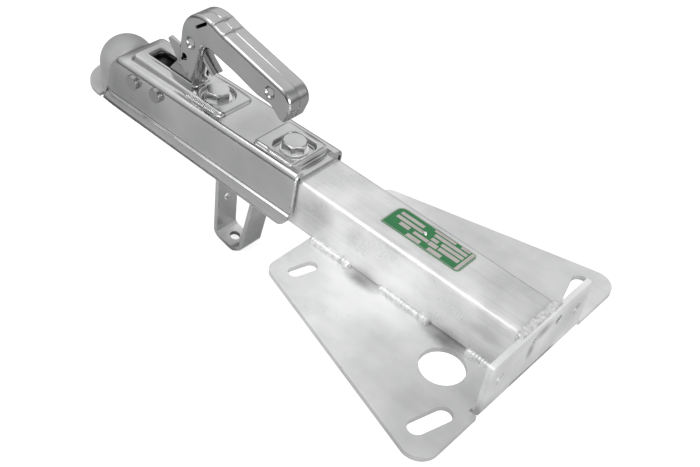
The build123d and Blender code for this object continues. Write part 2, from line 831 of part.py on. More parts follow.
def on_top_border(edge):
    """True on the straight front of the leg, from which the rounding runs on along the spine."""
    middle = edge.center()
    return middle.X < handle_foot_x + 8 and middle.Z > handle_foot_z + 5


# The part of the shell with rolled rear edges: leg and crook
with BuildPart() as leg_region:
    with BuildSketch(Plane.XZ):
        with BuildLine():
            Polyline(
                (handle_foot_x - 9, leg_foot_z - 9),
                (crook_x + 5, leg_foot_z - 9),
                (crook_x + 5, crook_z + 6),
                (handle_foot_x - 9, crook_z + 6),
                close=True,
            )
        make_face()
    extrude(amount=2 * shell_half, both=True)

with BuildPart() as leg_hollow:
    extrude(leg_outline(inset=shell_sheet), amount=shell_inner, both=True)
    rear_border = edges().filter_by(lambda e: is_side_edge(e, shell_inner)).filter_by(on_rear_border)
    fillet(rear_border, roll_radius - shell_sheet)
    add(leg_region.part, mode=Mode.INTERSECT)

with BuildPart() as handle_hollow:
    extrude(handle_outline(inset=shell_sheet), amount=shell_inner, both=True)
    add(leg_region.part, mode=Mode.SUBTRACT)
    add(leg_hollow.part)
    for x, z in ((catch_pin_x, catch_pin_z), (grip_pin_x, grip_pin_z)):
        for side in (-1, 1):
            with BuildSketch(Plane.XZ.offset(side * shell_inner)):
                with Locations((x, z)):
                    Circle(dimple_radius + 1)
            extrude(amount=-side * dimple_depth, taper=25, mode=Mode.SUBTRACT)

with BuildPart() as handle_openings:
    # Underside of the grip
    with BuildSketch(Plane.XZ):
        with BuildLine():
            Polyline(
                (crook_x + 5, crook_z + 1.8),
                (crook_x + 14, crook_z + 1.0),
                (belly_x, belly_z + 4),
                (hook_front_x, handle_tip_z - hook_front_drop + 4),
                (hook_rear_x + 1, handle_tip_z - hook_rear_drop + 4),
                (hook_heel_x + 3.3, handle_tip_z - hook_heel_drop + 1.5),
                (hook_heel_x + 1.3, handle_tip_z - hook_drop - 4),
                (crook_x + 5, handle_tip_z - hook_drop - 4),
                close=True,
            )
        make_face()
    extrude(amount=shell_inner, both=True)
    # Foot of the leg
    with BuildSketch(Plane.XZ):
        with BuildLine():
            Polyline(
                (handle_foot_x + shell_sheet + 0.1, handle_foot_z + 3),
                (leg_foot_x - shell_sheet + 1, leg_foot_z + 9),
                (leg_foot_x - shell_sheet - 1.5, leg_foot_z - 3),
                (handle_foot_x + shell_sheet + 0.1, leg_foot_z - 3),
                close=True,
            )
        make_face()
    extrude(amount=shell_inner, both=True)
    # Gap between the two rolled edges at the back of the leg
    with BuildSketch(Plane.XZ):
        with BuildLine():
            FilletPolyline(
                (crook_x + 6, crook_z + 1.8),
                (crook_x - 3.5, crook_z + 1.8),
                (crook_x - 9, crook_z - 12),
                (leg_foot_x - 4, leg_foot_z + 2),
                radius=arch_radius,
            )
            Polyline(
                (leg_foot_x - 4, leg_foot_z + 2),
                (leg_foot_x - 4, leg_foot_z - 4),
                (leg_foot_x + 4, leg_foot_z - 4),
                (crook_x + 6, crook_z - 24),
                (crook_x + 6, crook_z + 1.8),
            )
        make_face()
    extrude(amount=roll_gap / 2, both=True)

with BuildPart() as handle_leg:
    extrude(leg_outline(), amount=shell_half, both=True)
    rear_border = edges().filter_by(lambda e: is_side_edge(e, shell_half)).filter_by(on_rear_border)
    fillet(rear_border, roll_radius)
    front_border = edges().filter_by(lambda e: is_side_edge(e, shell_half)).filter_by(on_top_border)
    fillet(front_border, shell_edge)
    add(leg_region.part, mode=Mode.INTERSECT)

with BuildPart() as handle_shell:
    extrude(handle_outline(), amount=shell_half, both=True)
    front_border = edges().filter_by(lambda e: is_side_edge(e, shell_half)).filter_by(on_top_border)
    fillet(front_border, shell_edge)
    nose_edge = edges().filter_by(Axis.Y).filter_by(lambda e: (e @ 0.5).X > hook_heel_x + 1)
    fillet(nose_edge.group_by(Axis.Z)[0], hook_nose)
    add(leg_region.part, mode=Mode.SUBTRACT)
    add(handle_leg.part)
    add(handle_hollow.part, mode=Mode.SUBTRACT)
    add(handle_openings.part, mode=Mode.SUBTRACT)
    for x, z in ((catch_pin_x, catch_pin_z), (grip_pin_x, grip_pin_z)):
        for side in (-1, 1):
            with BuildSketch(Plane.XZ.offset(side * shell_half)):
                with Locations((x, z)):
                    Circle(dimple_radius)
            extrude(amount=-side * dimple_depth, taper=30, mode=Mode.SUBTRACT)
        with BuildSketch(Plane.XZ):
            with Locations((x, z)):
                Circle(catch_pin_diameter / 2 + pin_fit)
        extrude(amount=2 * shell_half, both=True, mode=Mode.SUBTRACT)
    # Slot and keyhole in the near cheek
    with BuildSketch(Plane.XZ.offset(shell_inner - 1)):
        slot_place = (handle_bend_x + cheek_slot_back, handle_bend_z - cheek_slot_drop)
        with Locations(Location(slot_place, 38)):
            RectangleRounded(cheek_slot_length, cheek_slot_width, cheek_slot_width / 3)
        keyhole_place = (handle_foot_x + keyhole_back, handle_foot_z + keyhole_up)
        with Locations(keyhole_place):
            Circle(keyhole_radius)
        keyway_place = (keyhole_place[0] - 0.8 * keyway_drop, keyhole_place[1] - keyway_drop)
        with Locations(Location(keyway_place, 50)):
            Rectangle(keyway_length, keyway_width)
    extrude(amount=2 * shell_sheet, mode=Mode.SUBTRACT)
save(handle_shell, "handle_shell")


# Lever arm: two plates from the hub up into the handle, the cam nose and the pointer finger
with BuildPart() as lever_arm:
    with BuildSketch(Plane.XZ):
        with BuildLine():
            Polyline(
                (lever_pin_x - 12.6, lever_pin_z + 3),
                (lever_pin_x - 10, lever_pin_z + 18.9),
                (lever_pin_x + 3, lever_pin_z + 36),
                (handle_foot_x, handle_foot_z - 4),
                (handle_foot_x + shell_sheet + 0.8, handle_foot_z - 3),
                (handle_foot_x + shell_sheet + 1.2, handle_foot_z + 2),
                (catch_pin_x - lever_eye_radius, catch_pin_z),
                (catch_pin_x + 1, catch_pin_z - lever_eye_radius + 0.1),
                (lever_pin_x + 25.5, lever_pin_z + 18.7),
                (lever_pin_x + 12.6, lever_pin_z - 2),
                close=True,
            )
        make_face()
        with Locations((catch_pin_x, catch_pin_z)):
            Circle(lever_eye_radius)
        with Locations((lever_pin_x, lever_pin_z)):
            Circle(lever_hub_radius)
    extrude(amount=lever_half, both=True)
    # Room between the two plates, down to where the catch's toe swings
    with BuildSketch(Plane.XZ):
        with Locations((catch_pin_x, catch_pin_z)):
            Rectangle(4 * lever_hub_radius + lever_eye_radius, 2 * (catch_pin_z - toe_z + toe_gap))
        with Locations((lever_pin_x, lever_pin_z)):
            Circle(lever_hub_radius, mode=Mode.SUBTRACT)
    extrude(amount=lever_half - lever_plate, both=True, mode=Mode.SUBTRACT)
    with BuildSketch(Plane.XZ):
        with Locations((nose_x, nose_z)):
            Circle(nose_tip_radius)
        with Locations((lever_pin_x, lever_pin_z)):
            Circle(lever_hub_radius - 2)
        make_hull()
    extrude(amount=lever_half, both=True)
    with BuildSketch(Plane.XZ.offset(lever_half - lever_plate)):
        with BuildLine():
            Polyline(
                (lever_pin_x + 2.5, lever_pin_z + 35.5),
                finger_tip,
                (finger_tip[0] + 3.8, finger_tip[1] + 4.6),
                (handle_foot_x - 4, handle_foot_z + 12.4),
                (handle_foot_x - 1.4, handle_foot_z - 1),
                (handle_foot_x + 2, handle_foot_z - 7),
                close=True,
            )
        make_face()
    extrude(amount=lever_plate)
    with BuildSketch(Plane.XZ):
        with Locations((lever_pin_x, lever_pin_z)):
            Circle(pin_diameter / 2 + pin_fit)
        with Locations((catch_pin_x, catch_pin_z)):
            Circle(catch_pin_diameter / 2 + pin_fit)
    extrude(amount=2 * lever_half, both=True, mode=Mode.SUBTRACT)
save(lever_arm, "lever_arm")


# Pin of the catch and spacer rivet of the grip, each with a flange in its dimple
for name, x, z, spacer in (
    ("catch_pin", catch_pin_x, catch_pin_z, 0),
    ("grip_rivet", grip_pin_x, grip_pin_z, 7.0),
):
    with BuildPart() as rivet:
        outer = lever_half + shell_sheet
        with BuildSketch(Plane.XZ):
            with Locations((x, z)):
                Circle(catch_pin_diameter / 2)
        extrude(amount=outer, both=True)
        for side in (-1, 1):
            with BuildSketch(Plane.XZ.offset(side * outer)):
                with Locations((x, z)):
                    Circle(dimple_floor_radius - 0.3)
            extrude(amount=side * rivet_flange, taper=20)
        if spacer:
            with BuildSketch(Plane.XZ):
                with Locations((x, z)):
                    Circle(spacer)
            extrude(amount=lever_half, both=True)
    save(rivet, name)


# Safety catch: hub, arm with its toe, and the channel-shaped tongue for the finger
tongue_root = (catch_pin_x + 9.4, catch_pin_z - 8.5)
tongue_tip = (catch_pin_x + tongue_back, catch_pin_z - tongue_drop)
tongue_length = hypot(tongue_tip[0] - tongue_root[0], tongue_tip[1] - tongue_root[1])
along = ((tongue_tip[0] - tongue_root[0]) / tongue_length, (tongue_tip[1] - tongue_root[1]) / tongue_length)
inward = (along[1], -along[0])


def tongue_point(distance, depth):
    """A point of the tongue's side outline, by its distance from the root and depth below the web."""
    x = tongue_root[0] + along[0] * distance + inward[0] * depth
    z = tongue_root[1] + along[1] * distance + inward[1] * depth
    return x, z


def web_folds(found, distance, half, depth):
    """The two edges along the tongue's web, on its outside or in its channel."""
    middle = tongue_point(distance, depth)
    return found.filter_by(lambda e: abs(abs(e.center().Y) - half) < 0.01).filter_by(
        lambda e: hypot(e.center().X - middle[0], e.center().Z - middle[1]) < 0.1
    )


channel_half = catch_half - catch_sheet
with BuildPart() as tongue_channel:
    with BuildSketch(Plane.XZ):
        with BuildLine():
            Polyline(
                tongue_point(catch_sheet, catch_sheet),
                tongue_point(tongue_length + catch_sheet, catch_sheet),
                tongue_point(tongue_length + catch_sheet, tongue_depth + 1),
                tongue_point(catch_sheet, tongue_depth + 1),
                close=True,
            )
        make_face()
    extrude(amount=channel_half, both=True)
    channel_middle = tongue_length / 2 + catch_sheet
    fillet(web_folds(edges(), channel_middle, channel_half, catch_sheet), tongue_fold - catch_sheet)

with BuildPart() as safety_catch:
    with BuildSketch(Plane.XZ):
        with BuildLine():
            Polyline(
                tongue_point(0, 0),
                tongue_point(tongue_length, 0),
                tongue_point(tongue_length, tongue_depth),
                tongue_point(0, tongue_depth),
                close=True,
            )
        make_face()
    extrude(amount=catch_half, both=True)
    fillet(web_folds(edges(), tongue_length / 2, catch_half, 0), tongue_fold)
    add(tongue_channel.part, mode=Mode.SUBTRACT)
    with BuildSketch(Plane.XZ):
        with Locations((catch_pin_x, catch_pin_z)):
            Circle(catch_hub_radius)
        with BuildLine():
            Polyline(
                (catch_pin_x + 4, catch_pin_z - 4),
                tongue_point(0, -0.0),
                tongue_point(catch_sheet, 0),
                tongue_point(catch_sheet, tongue_depth),
                (slot_rear_x - toe_gap, catch_pin_z - 32),
                (slot_rear_x - toe_gap, toe_z),
                (slot_rear_x - toe_gap - toe_width, toe_z),
                (slot_rear_x - toe_gap - toe_width - 0.5, catch_pin_z - 28),
                (catch_pin_x - 6, catch_pin_z - 3),
                close=True,
            )
        make_face()
    extrude(amount=catch_arm_half)
    with BuildSketch(Plane.XZ):
        with Locations((catch_pin_x, catch_pin_z)):
            Circle(catch_pin_diameter / 2 + pin_fit)
    extrude(amount=2 * catch_half, both=True, mode=Mode.SUBTRACT)
save(safety_catch, "safety_catch")


# Torsion springs, drawn as closed coils with their two legs
def torsion_spring(name, x, z, radius, start, length, legs):
    """A close-wound coil as a ring sleeve of the wire's thickness, with two straight legs."""
    with BuildPart() as spring:
        with BuildSketch(Plane.XZ.offset(-start)):
            with Locations((x, z)):
                Circle(radius + spring_wire)
                Circle(radius, mode=Mode.SUBTRACT)
        extrude(amount=-length)
        for place, angle, reach in legs:
            mean = radius + spring_wire / 2
            turn = radians(angle)
            foot = (x - mean * sin(turn), z + mean * cos(turn))
            tip = (foot[0] + reach * cos(turn), foot[1] + reach * sin(turn))
            middle = ((foot[0] + tip[0]) / 2, (foot[1] + tip[1]) / 2)
            with BuildSketch(Plane.XZ.offset(-place)):
                with Locations(Location(middle, angle)):
                    Rectangle(reach, spring_wire)
            extrude(amount=-spring_wire)
    save(spring, name)


jaw_coil_start = jaw_half + running_gap
lever_coil_start = lever_half + 1
pin_coil_radius = pin_diameter / 2 + pin_spring_gap
torsion_spring(
    "jaw_spring", jaw_pin_x, jaw_pin_z, pin_coil_radius, jaw_coil_start, pin_coil,
    [
        (jaw_coil_start, 205, pin_spring_leg),
        (jaw_coil_start + pin_coil - spring_wire, -20, 0.9 * pin_spring_leg),
    ],
)
torsion_spring(
    "handle_spring", lever_pin_x, lever_pin_z, pin_coil_radius, lever_coil_start, pin_coil,
    [
        (lever_coil_start, 230, 0.8 * pin_spring_leg),
        (lever_coil_start + pin_coil - spring_wire, -20, pin_spring_leg),
    ],
)
catch_coil_radius = (catch_pin_diameter + pin_spring_gap) / 2
torsion_spring(
    "catch_spring", catch_pin_x, catch_pin_z, catch_coil_radius, running_gap, catch_coil,
    [
        (running_gap, 150, 0.9 * catch_spring_leg),
        (running_gap + spring_wire, -95, catch_spring_leg),
    ],
)


# Type plate on the tube and its rivet
with BuildPart() as type_plate:
    with BuildSketch(Plane.XY.offset(tube_top_z)):
        with Locations((type_plate_x, type_plate_y)):
            RectangleRounded(type_plate_length, type_plate_width, type_plate_corner)
        with Locations((type_rivet_x, type_rivet_y)):
            Circle(type_rivet_radius / 2, mode=Mode.SUBTRACT)
    extrude(amount=type_plate_thickness)
save(type_plate, "type_plate")

with BuildPart() as type_plate_rivet:
    with BuildSketch(Plane.XY.offset(tube_top_z)):
        with Locations((type_rivet_x, type_rivet_y)):
            Circle(type_rivet_radius / 2)
    extrude(amount=type_plate_thickness)
    with BuildSketch(Plane.XY.offset(tube_top_z + type_plate_thickness)):
        with Locations((type_rivet_x, type_rivet_y)):
            Circle(type_rivet_radius)
    extrude(amount=type_rivet_radius / 2, taper=30)
save(type_plate_rivet, "type_plate_rivet")
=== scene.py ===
import math

import bmesh
import bpy
from mathutils import Matrix, Vector, noise


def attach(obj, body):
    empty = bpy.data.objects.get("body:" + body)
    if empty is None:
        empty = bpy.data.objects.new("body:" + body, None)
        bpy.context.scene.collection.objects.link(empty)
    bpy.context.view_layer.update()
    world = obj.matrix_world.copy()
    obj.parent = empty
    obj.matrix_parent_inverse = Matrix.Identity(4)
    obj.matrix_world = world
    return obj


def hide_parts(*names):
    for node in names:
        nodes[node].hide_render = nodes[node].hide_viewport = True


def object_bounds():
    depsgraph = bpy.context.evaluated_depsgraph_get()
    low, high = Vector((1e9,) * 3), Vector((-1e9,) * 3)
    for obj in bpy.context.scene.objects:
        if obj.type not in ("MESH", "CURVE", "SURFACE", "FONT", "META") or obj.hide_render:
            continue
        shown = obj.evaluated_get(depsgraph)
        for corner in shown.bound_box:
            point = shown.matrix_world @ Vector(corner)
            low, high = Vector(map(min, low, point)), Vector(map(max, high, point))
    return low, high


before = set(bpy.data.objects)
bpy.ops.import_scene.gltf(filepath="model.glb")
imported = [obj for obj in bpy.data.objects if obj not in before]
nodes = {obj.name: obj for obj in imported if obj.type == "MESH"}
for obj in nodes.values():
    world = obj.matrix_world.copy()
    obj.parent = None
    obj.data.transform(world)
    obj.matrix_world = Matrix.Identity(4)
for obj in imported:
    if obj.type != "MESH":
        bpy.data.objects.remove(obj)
cadLow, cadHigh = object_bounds()
mm = 0.001  # the scene is in metres, and the sizes of pieces are given in millimetres


# The camera stands where the photograph was taken, in metres
photoCamera = {
    "place": (0.8183, -0.6451, 0.6984),
    "right": (0.7380, 0.6649, 0.1154),
    "back": (0.4360, -0.6003, 0.6706),
    "lens": 54.25,
    "shiftX": -0.0004,
    "shiftY": -0.0024,
    "clip": (0.05, 20),
}


def makeCamera():
    cam = bpy.data.cameras.new("photoCamera")
    cam.lens = photoCamera["lens"]
    cam.shift_x, cam.shift_y = photoCamera["shiftX"], photoCamera["shiftY"]
    cam.clip_start, cam.clip_end = photoCamera["clip"]
    obj = bpy.data.objects.new("photoCamera", cam)
    bpy.context.scene.collection.objects.link(obj)
    back = Vector(photoCamera["back"]).normalized()
    up = back.cross(Vector(photoCamera["right"])).normalized()
    turn = Matrix((up.cross(back), up, back)).transposed().to_4x4()
    obj.matrix_world = Matrix.Translation(photoCamera["place"]) @ turn
    bpy.context.scene.camera = obj


makeCamera()
print("camera placed")


def addNode(tree, kind, inputs=None, **values):
    node = tree.nodes.new(kind)
    for key, value in values.items():
        setattr(node, key, value)
    for key, value in (inputs or {}).items():
        node.inputs[key].default_value = value
    return node


def link(tree, *ends):
    for out, into in ends:
        tree.links.new(out, into)


def newPaint(name):
    paint = bpy.data.materials.new(name)
    paint.use_nodes = True
    return paint, paint.node_tree, paint.node_tree.nodes["Principled BSDF"]


# Studio: a pale floor under the loop, a white surround and soft lamps, in metres and watts
studio = {
    "floorGap": 0.0005,
    "floorSize": 8.0,
    "floorShift": 0.3,  # along the drawbar, so that its middle lies under the part
    "floorColour": (0.66, 0.66, 0.66, 1),
    "floorRoughness": 0.9,
    "floorSpecular": 0.1,
    "floorSeen": 0.78,  # glow of the floor for the camera
    "floorMirrored": 0.03,  # and in the zinc
    "ambient": 0.36,
    # height of the mirrored direction and its level, behind the part and before it
    "behind": (
        (0.0, 0.2), (0.16, 0.5), (0.3, 0.84), (0.55, 0.88), (0.66, 0.92), (0.8, 0.84), (1.0, 0.92),
    ),
    "before": ((0.0, 0.1), (0.15, 0.16), (0.3, 0.42), (0.6, 0.72), (0.86, 0.95), (1.0, 1.0)),
    "turnOver": (-0.25, 0.2),  # mirrored direction across the drawbar, from before to behind
    # level by the mirrored direction along the drawbar: a dark card towards the rear
    "card": ((0.0, 1.0), (0.54, 1.0), (0.64, 0.45), (0.76, 0.45), (0.86, 0.9), (1.0, 0.9)),
    "lamps": [
        # name, place, aim, width, height, watts, mirrored
        ("overheadSoftbox", (-0.35, -0.25, 1.55), (0.25, 0, 0), 1.3, 0.7, 5.5, True),
        ("leftSoftbox", (-0.3, -1.6, 0.45), (0.35, 0, 0), 1.2, 0.8, 12.5, False),
        ("rearSoftbox", (1.7, -0.35, 0.42), (0.5, 0, 0), 0.9, 0.6, 11, True),
    ],
}


def makeFloor():
    half = studio["floorSize"] / 2
    height = cadLow.z - studio["floorGap"]
    mesh = bpy.data.meshes.new("paleFloor")
    corners = [(-half, -half), (half, -half), (half, half), (-half, half)]
    mesh.from_pydata([(x + studio["floorShift"], y, height) for x, y in corners], [], [(0, 1, 2, 3)])
    floor = bpy.data.objects.new("paleFloor", mesh)
    bpy.context.scene.collection.objects.link(floor)
    paint, tree, shader = newPaint("palePaper")
    shader.inputs["Base Color"].default_value = studio["floorColour"]
    shader.inputs["Roughness"].default_value = studio["floorRoughness"]
    shader.inputs["Specular IOR Level"].default_value = studio["floorSpecular"]
    shader.inputs["Emission Color"].default_value = (1, 1, 1, 1)
    path = addNode(tree, "ShaderNodeLightPath")
    through = addNode(tree, "ShaderNodeMath", operation="MAXIMUM")
    seen = addNode(tree, "ShaderNodeMath", {1: studio["floorSeen"]}, operation="MULTIPLY")
    glow = addNode(tree, "ShaderNodeMath", {1: studio["floorMirrored"]}, operation="MULTIPLY_ADD")
    link(
        tree,
        (path.outputs["Is Camera Ray"], through.inputs[0]),
        (path.outputs["Is Transmission Ray"], through.inputs[1]),
        (through.outputs[0], seen.inputs[0]),
        (path.outputs["Is Glossy Ray"], glow.inputs[0]),
        (seen.outputs[0], glow.inputs[2]),
        (glow.outputs[0], shader.inputs["Emission Strength"]),
    )
    mesh.materials.append(paint)


def makeWorld():
    world = bpy.data.worlds.new("whiteStudio")
    bpy.context.scene.world = world
    world.use_nodes = True
    tree = world.node_tree
    tree.nodes.clear()
    path = addNode(tree, "ShaderNodeLightPath")
    place = addNode(tree, "ShaderNodeTexCoord")
    split = addNode(tree, "ShaderNodeSeparateXYZ")
    ramps = []
    along = addNode(tree, "ShaderNodeMapRange", {"From Min": -1, "From Max": 1})
    heights = split.outputs["Z"]
    for stops, fac in (
        (studio["before"], heights),
        (studio["behind"], heights),
        (studio["card"], along.outputs[0]),
    ):
        ramp = addNode(tree, "ShaderNodeValToRGB")
        for where, level in stops[1:-1]:
            ramp.color_ramp.elements.new(where)
        for element, (where, level) in zip(ramp.color_ramp.elements, stops):
            element.position = where
            element.color = (level, level, level, 1)
        link(tree, (fac, ramp.inputs["Fac"]))
        ramps.append(ramp.outputs["Color"])
    before, behind = studio["turnOver"]
    side = addNode(
        tree, "ShaderNodeMapRange", {"From Min": before, "From Max": behind},
        interpolation_type="SMOOTHSTEP",
    )
    dome = addNode(tree, "ShaderNodeMix", data_type="RGBA")
    carded = addNode(tree, "ShaderNodeMix", {0: 1.0}, data_type="RGBA", blend_type="MULTIPLY")
    white = (1, 1, 1, 1)
    plain = addNode(tree, "ShaderNodeBackground", {"Color": white, "Strength": studio["ambient"]})
    shown = addNode(tree, "ShaderNodeBackground", {"Color": white})
    mirrored = addNode(tree, "ShaderNodeBackground")
    firstMix = addNode(tree, "ShaderNodeMixShader")
    lastMix = addNode(tree, "ShaderNodeMixShader")
    clear = addNode(tree, "ShaderNodeMath", operation="MAXIMUM")
    out = addNode(tree, "ShaderNodeOutputWorld")
    link(
        tree,
        (place.outputs["Generated"], split.inputs[0]),
        (split.outputs["X"], along.inputs["Value"]),
        (split.outputs["Y"], side.inputs["Value"]),
        (side.outputs[0], dome.inputs["Factor"]),
        (ramps[0], dome.inputs[6]),
        (ramps[1], dome.inputs[7]),
        (dome.outputs[2], carded.inputs[6]),
        (ramps[2], carded.inputs[7]),
        (carded.outputs[2], mirrored.inputs["Color"]),
        (path.outputs["Is Glossy Ray"], firstMix.inputs["Fac"]),
        (plain.outputs[0], firstMix.inputs[1]),
        (mirrored.outputs[0], firstMix.inputs[2]),
        (path.outputs["Is Camera Ray"], clear.inputs[0]),
        (path.outputs["Is Transmission Ray"], clear.inputs[1]),
        (clear.outputs[0], lastMix.inputs["Fac"]),
        (firstMix.outputs[0], lastMix.inputs[1]),
        (shown.outputs[0], lastMix.inputs[2]),
        (lastMix.outputs[0], out.inputs["Surface"]),
    )


def makeLamps():
    for name, place, aim, width, height, watts, mirrored in studio["lamps"]:
        lamp = bpy.data.lights.new(name, "AREA")
        lamp.shape = "RECTANGLE"
        lamp.size, lamp.size_y = width, height
        lamp.energy = watts
        obj = bpy.data.objects.new(name, lamp)
        bpy.context.scene.collection.objects.link(obj)
        turn = (Vector(aim) - Vector(place)).to_track_quat("-Z", "Y").to_matrix().to_4x4()
        obj.matrix_world = Matrix.Translation(place) @ turn
        obj.visible_glossy = mirrored


makeFloor()
makeWorld()
makeLamps()
bpy.context.scene.view_settings.view_transform = "Standard"
print("studio lit")


# Soft-edged blobs, each with a centre and half sizes in millimetres, broken up by a noise
def blobMask(tree, place, blobs, broken=0.35, scale=160, solid=0.0):
    ragged = addNode(tree, "ShaderNodeTexNoise", {"Scale": scale, "Detail": 5})
    link(tree, (place, ragged.inputs["Vector"]))
    total = None
    for centre, size in blobs:
        inverse = [1 / (s * mm) for s in size]
        near = addNode(tree, "ShaderNodeVectorMath", operation="MULTIPLY_ADD")
        near.inputs[1].default_value = inverse
        near.inputs[2].default_value = [-c * mm * i for c, i in zip(centre, inverse)]
        far = addNode(tree, "ShaderNodeVectorMath", operation="LENGTH")
        wobble = addNode(tree, "ShaderNodeMath", {1: broken}, operation="MULTIPLY_ADD")
        fade = addNode(
            tree, "ShaderNodeMapRange",
            {"From Min": solid + broken / 2, "From Max": 1 + broken / 2, "To Min": 1, "To Max": 0},
            interpolation_type="SMOOTHSTEP",
        )
        link(
            tree,
            (place, near.inputs[0]),
            (near.outputs[0], far.inputs[0]),
            (ragged.outputs["Fac"], wobble.inputs[0]),
            (far.outputs["Value"], wobble.inputs[2]),
            (wobble.outputs[0], fade.inputs["Value"]),
        )
        if total is None:
            total = fade.outputs[0]
            continue
        both = addNode(tree, "ShaderNodeMath", operation="MAXIMUM")
        link(tree, (total, both.inputs[0]), (fade.outputs[0], both.inputs[1]))
        total = both.outputs[0]
    return total


# What all zinc has in common; scales are for places in metres, and depths are in metres too
zinc = {
    "clouds": (0.35, 0.66),  # where the noise turns from the low tone to the high one
    "lowTint": (1.0, 1.004, 1.01),
    "highTint": (1.0, 1.002, 1.004),
    "glossClouds": (0.3, 0.7),
    "glossSpread": (0.8, 1.25),  # shares of the roughness
    "grainScale": 900,
    "grainDepth": 0.0002,
    "waveScale": 34,
    "waveDepth": 0.001,
    "ribScale": 150,
    "ribStrength": 0.8,
    "ribDepth": 0.0012,
    "speckScale": 330,
    "speckRange": (0.73, 0.79),
    "speckColour": (0.18, 0.17, 0.16, 1),
    "pitCrowding": 0.13,
    # darker, matt zones: real stains, and painted shade at the tube's foot
    "stainAndShadeColour": (0.1, 0.095, 0.09, 1),
    "stainAndShadeLevel": 0.6,
    "stainAndShadeRoughness": 0.6,
    "dullMetallic": 0.35,
    "dullRoughness": 0.66,
}
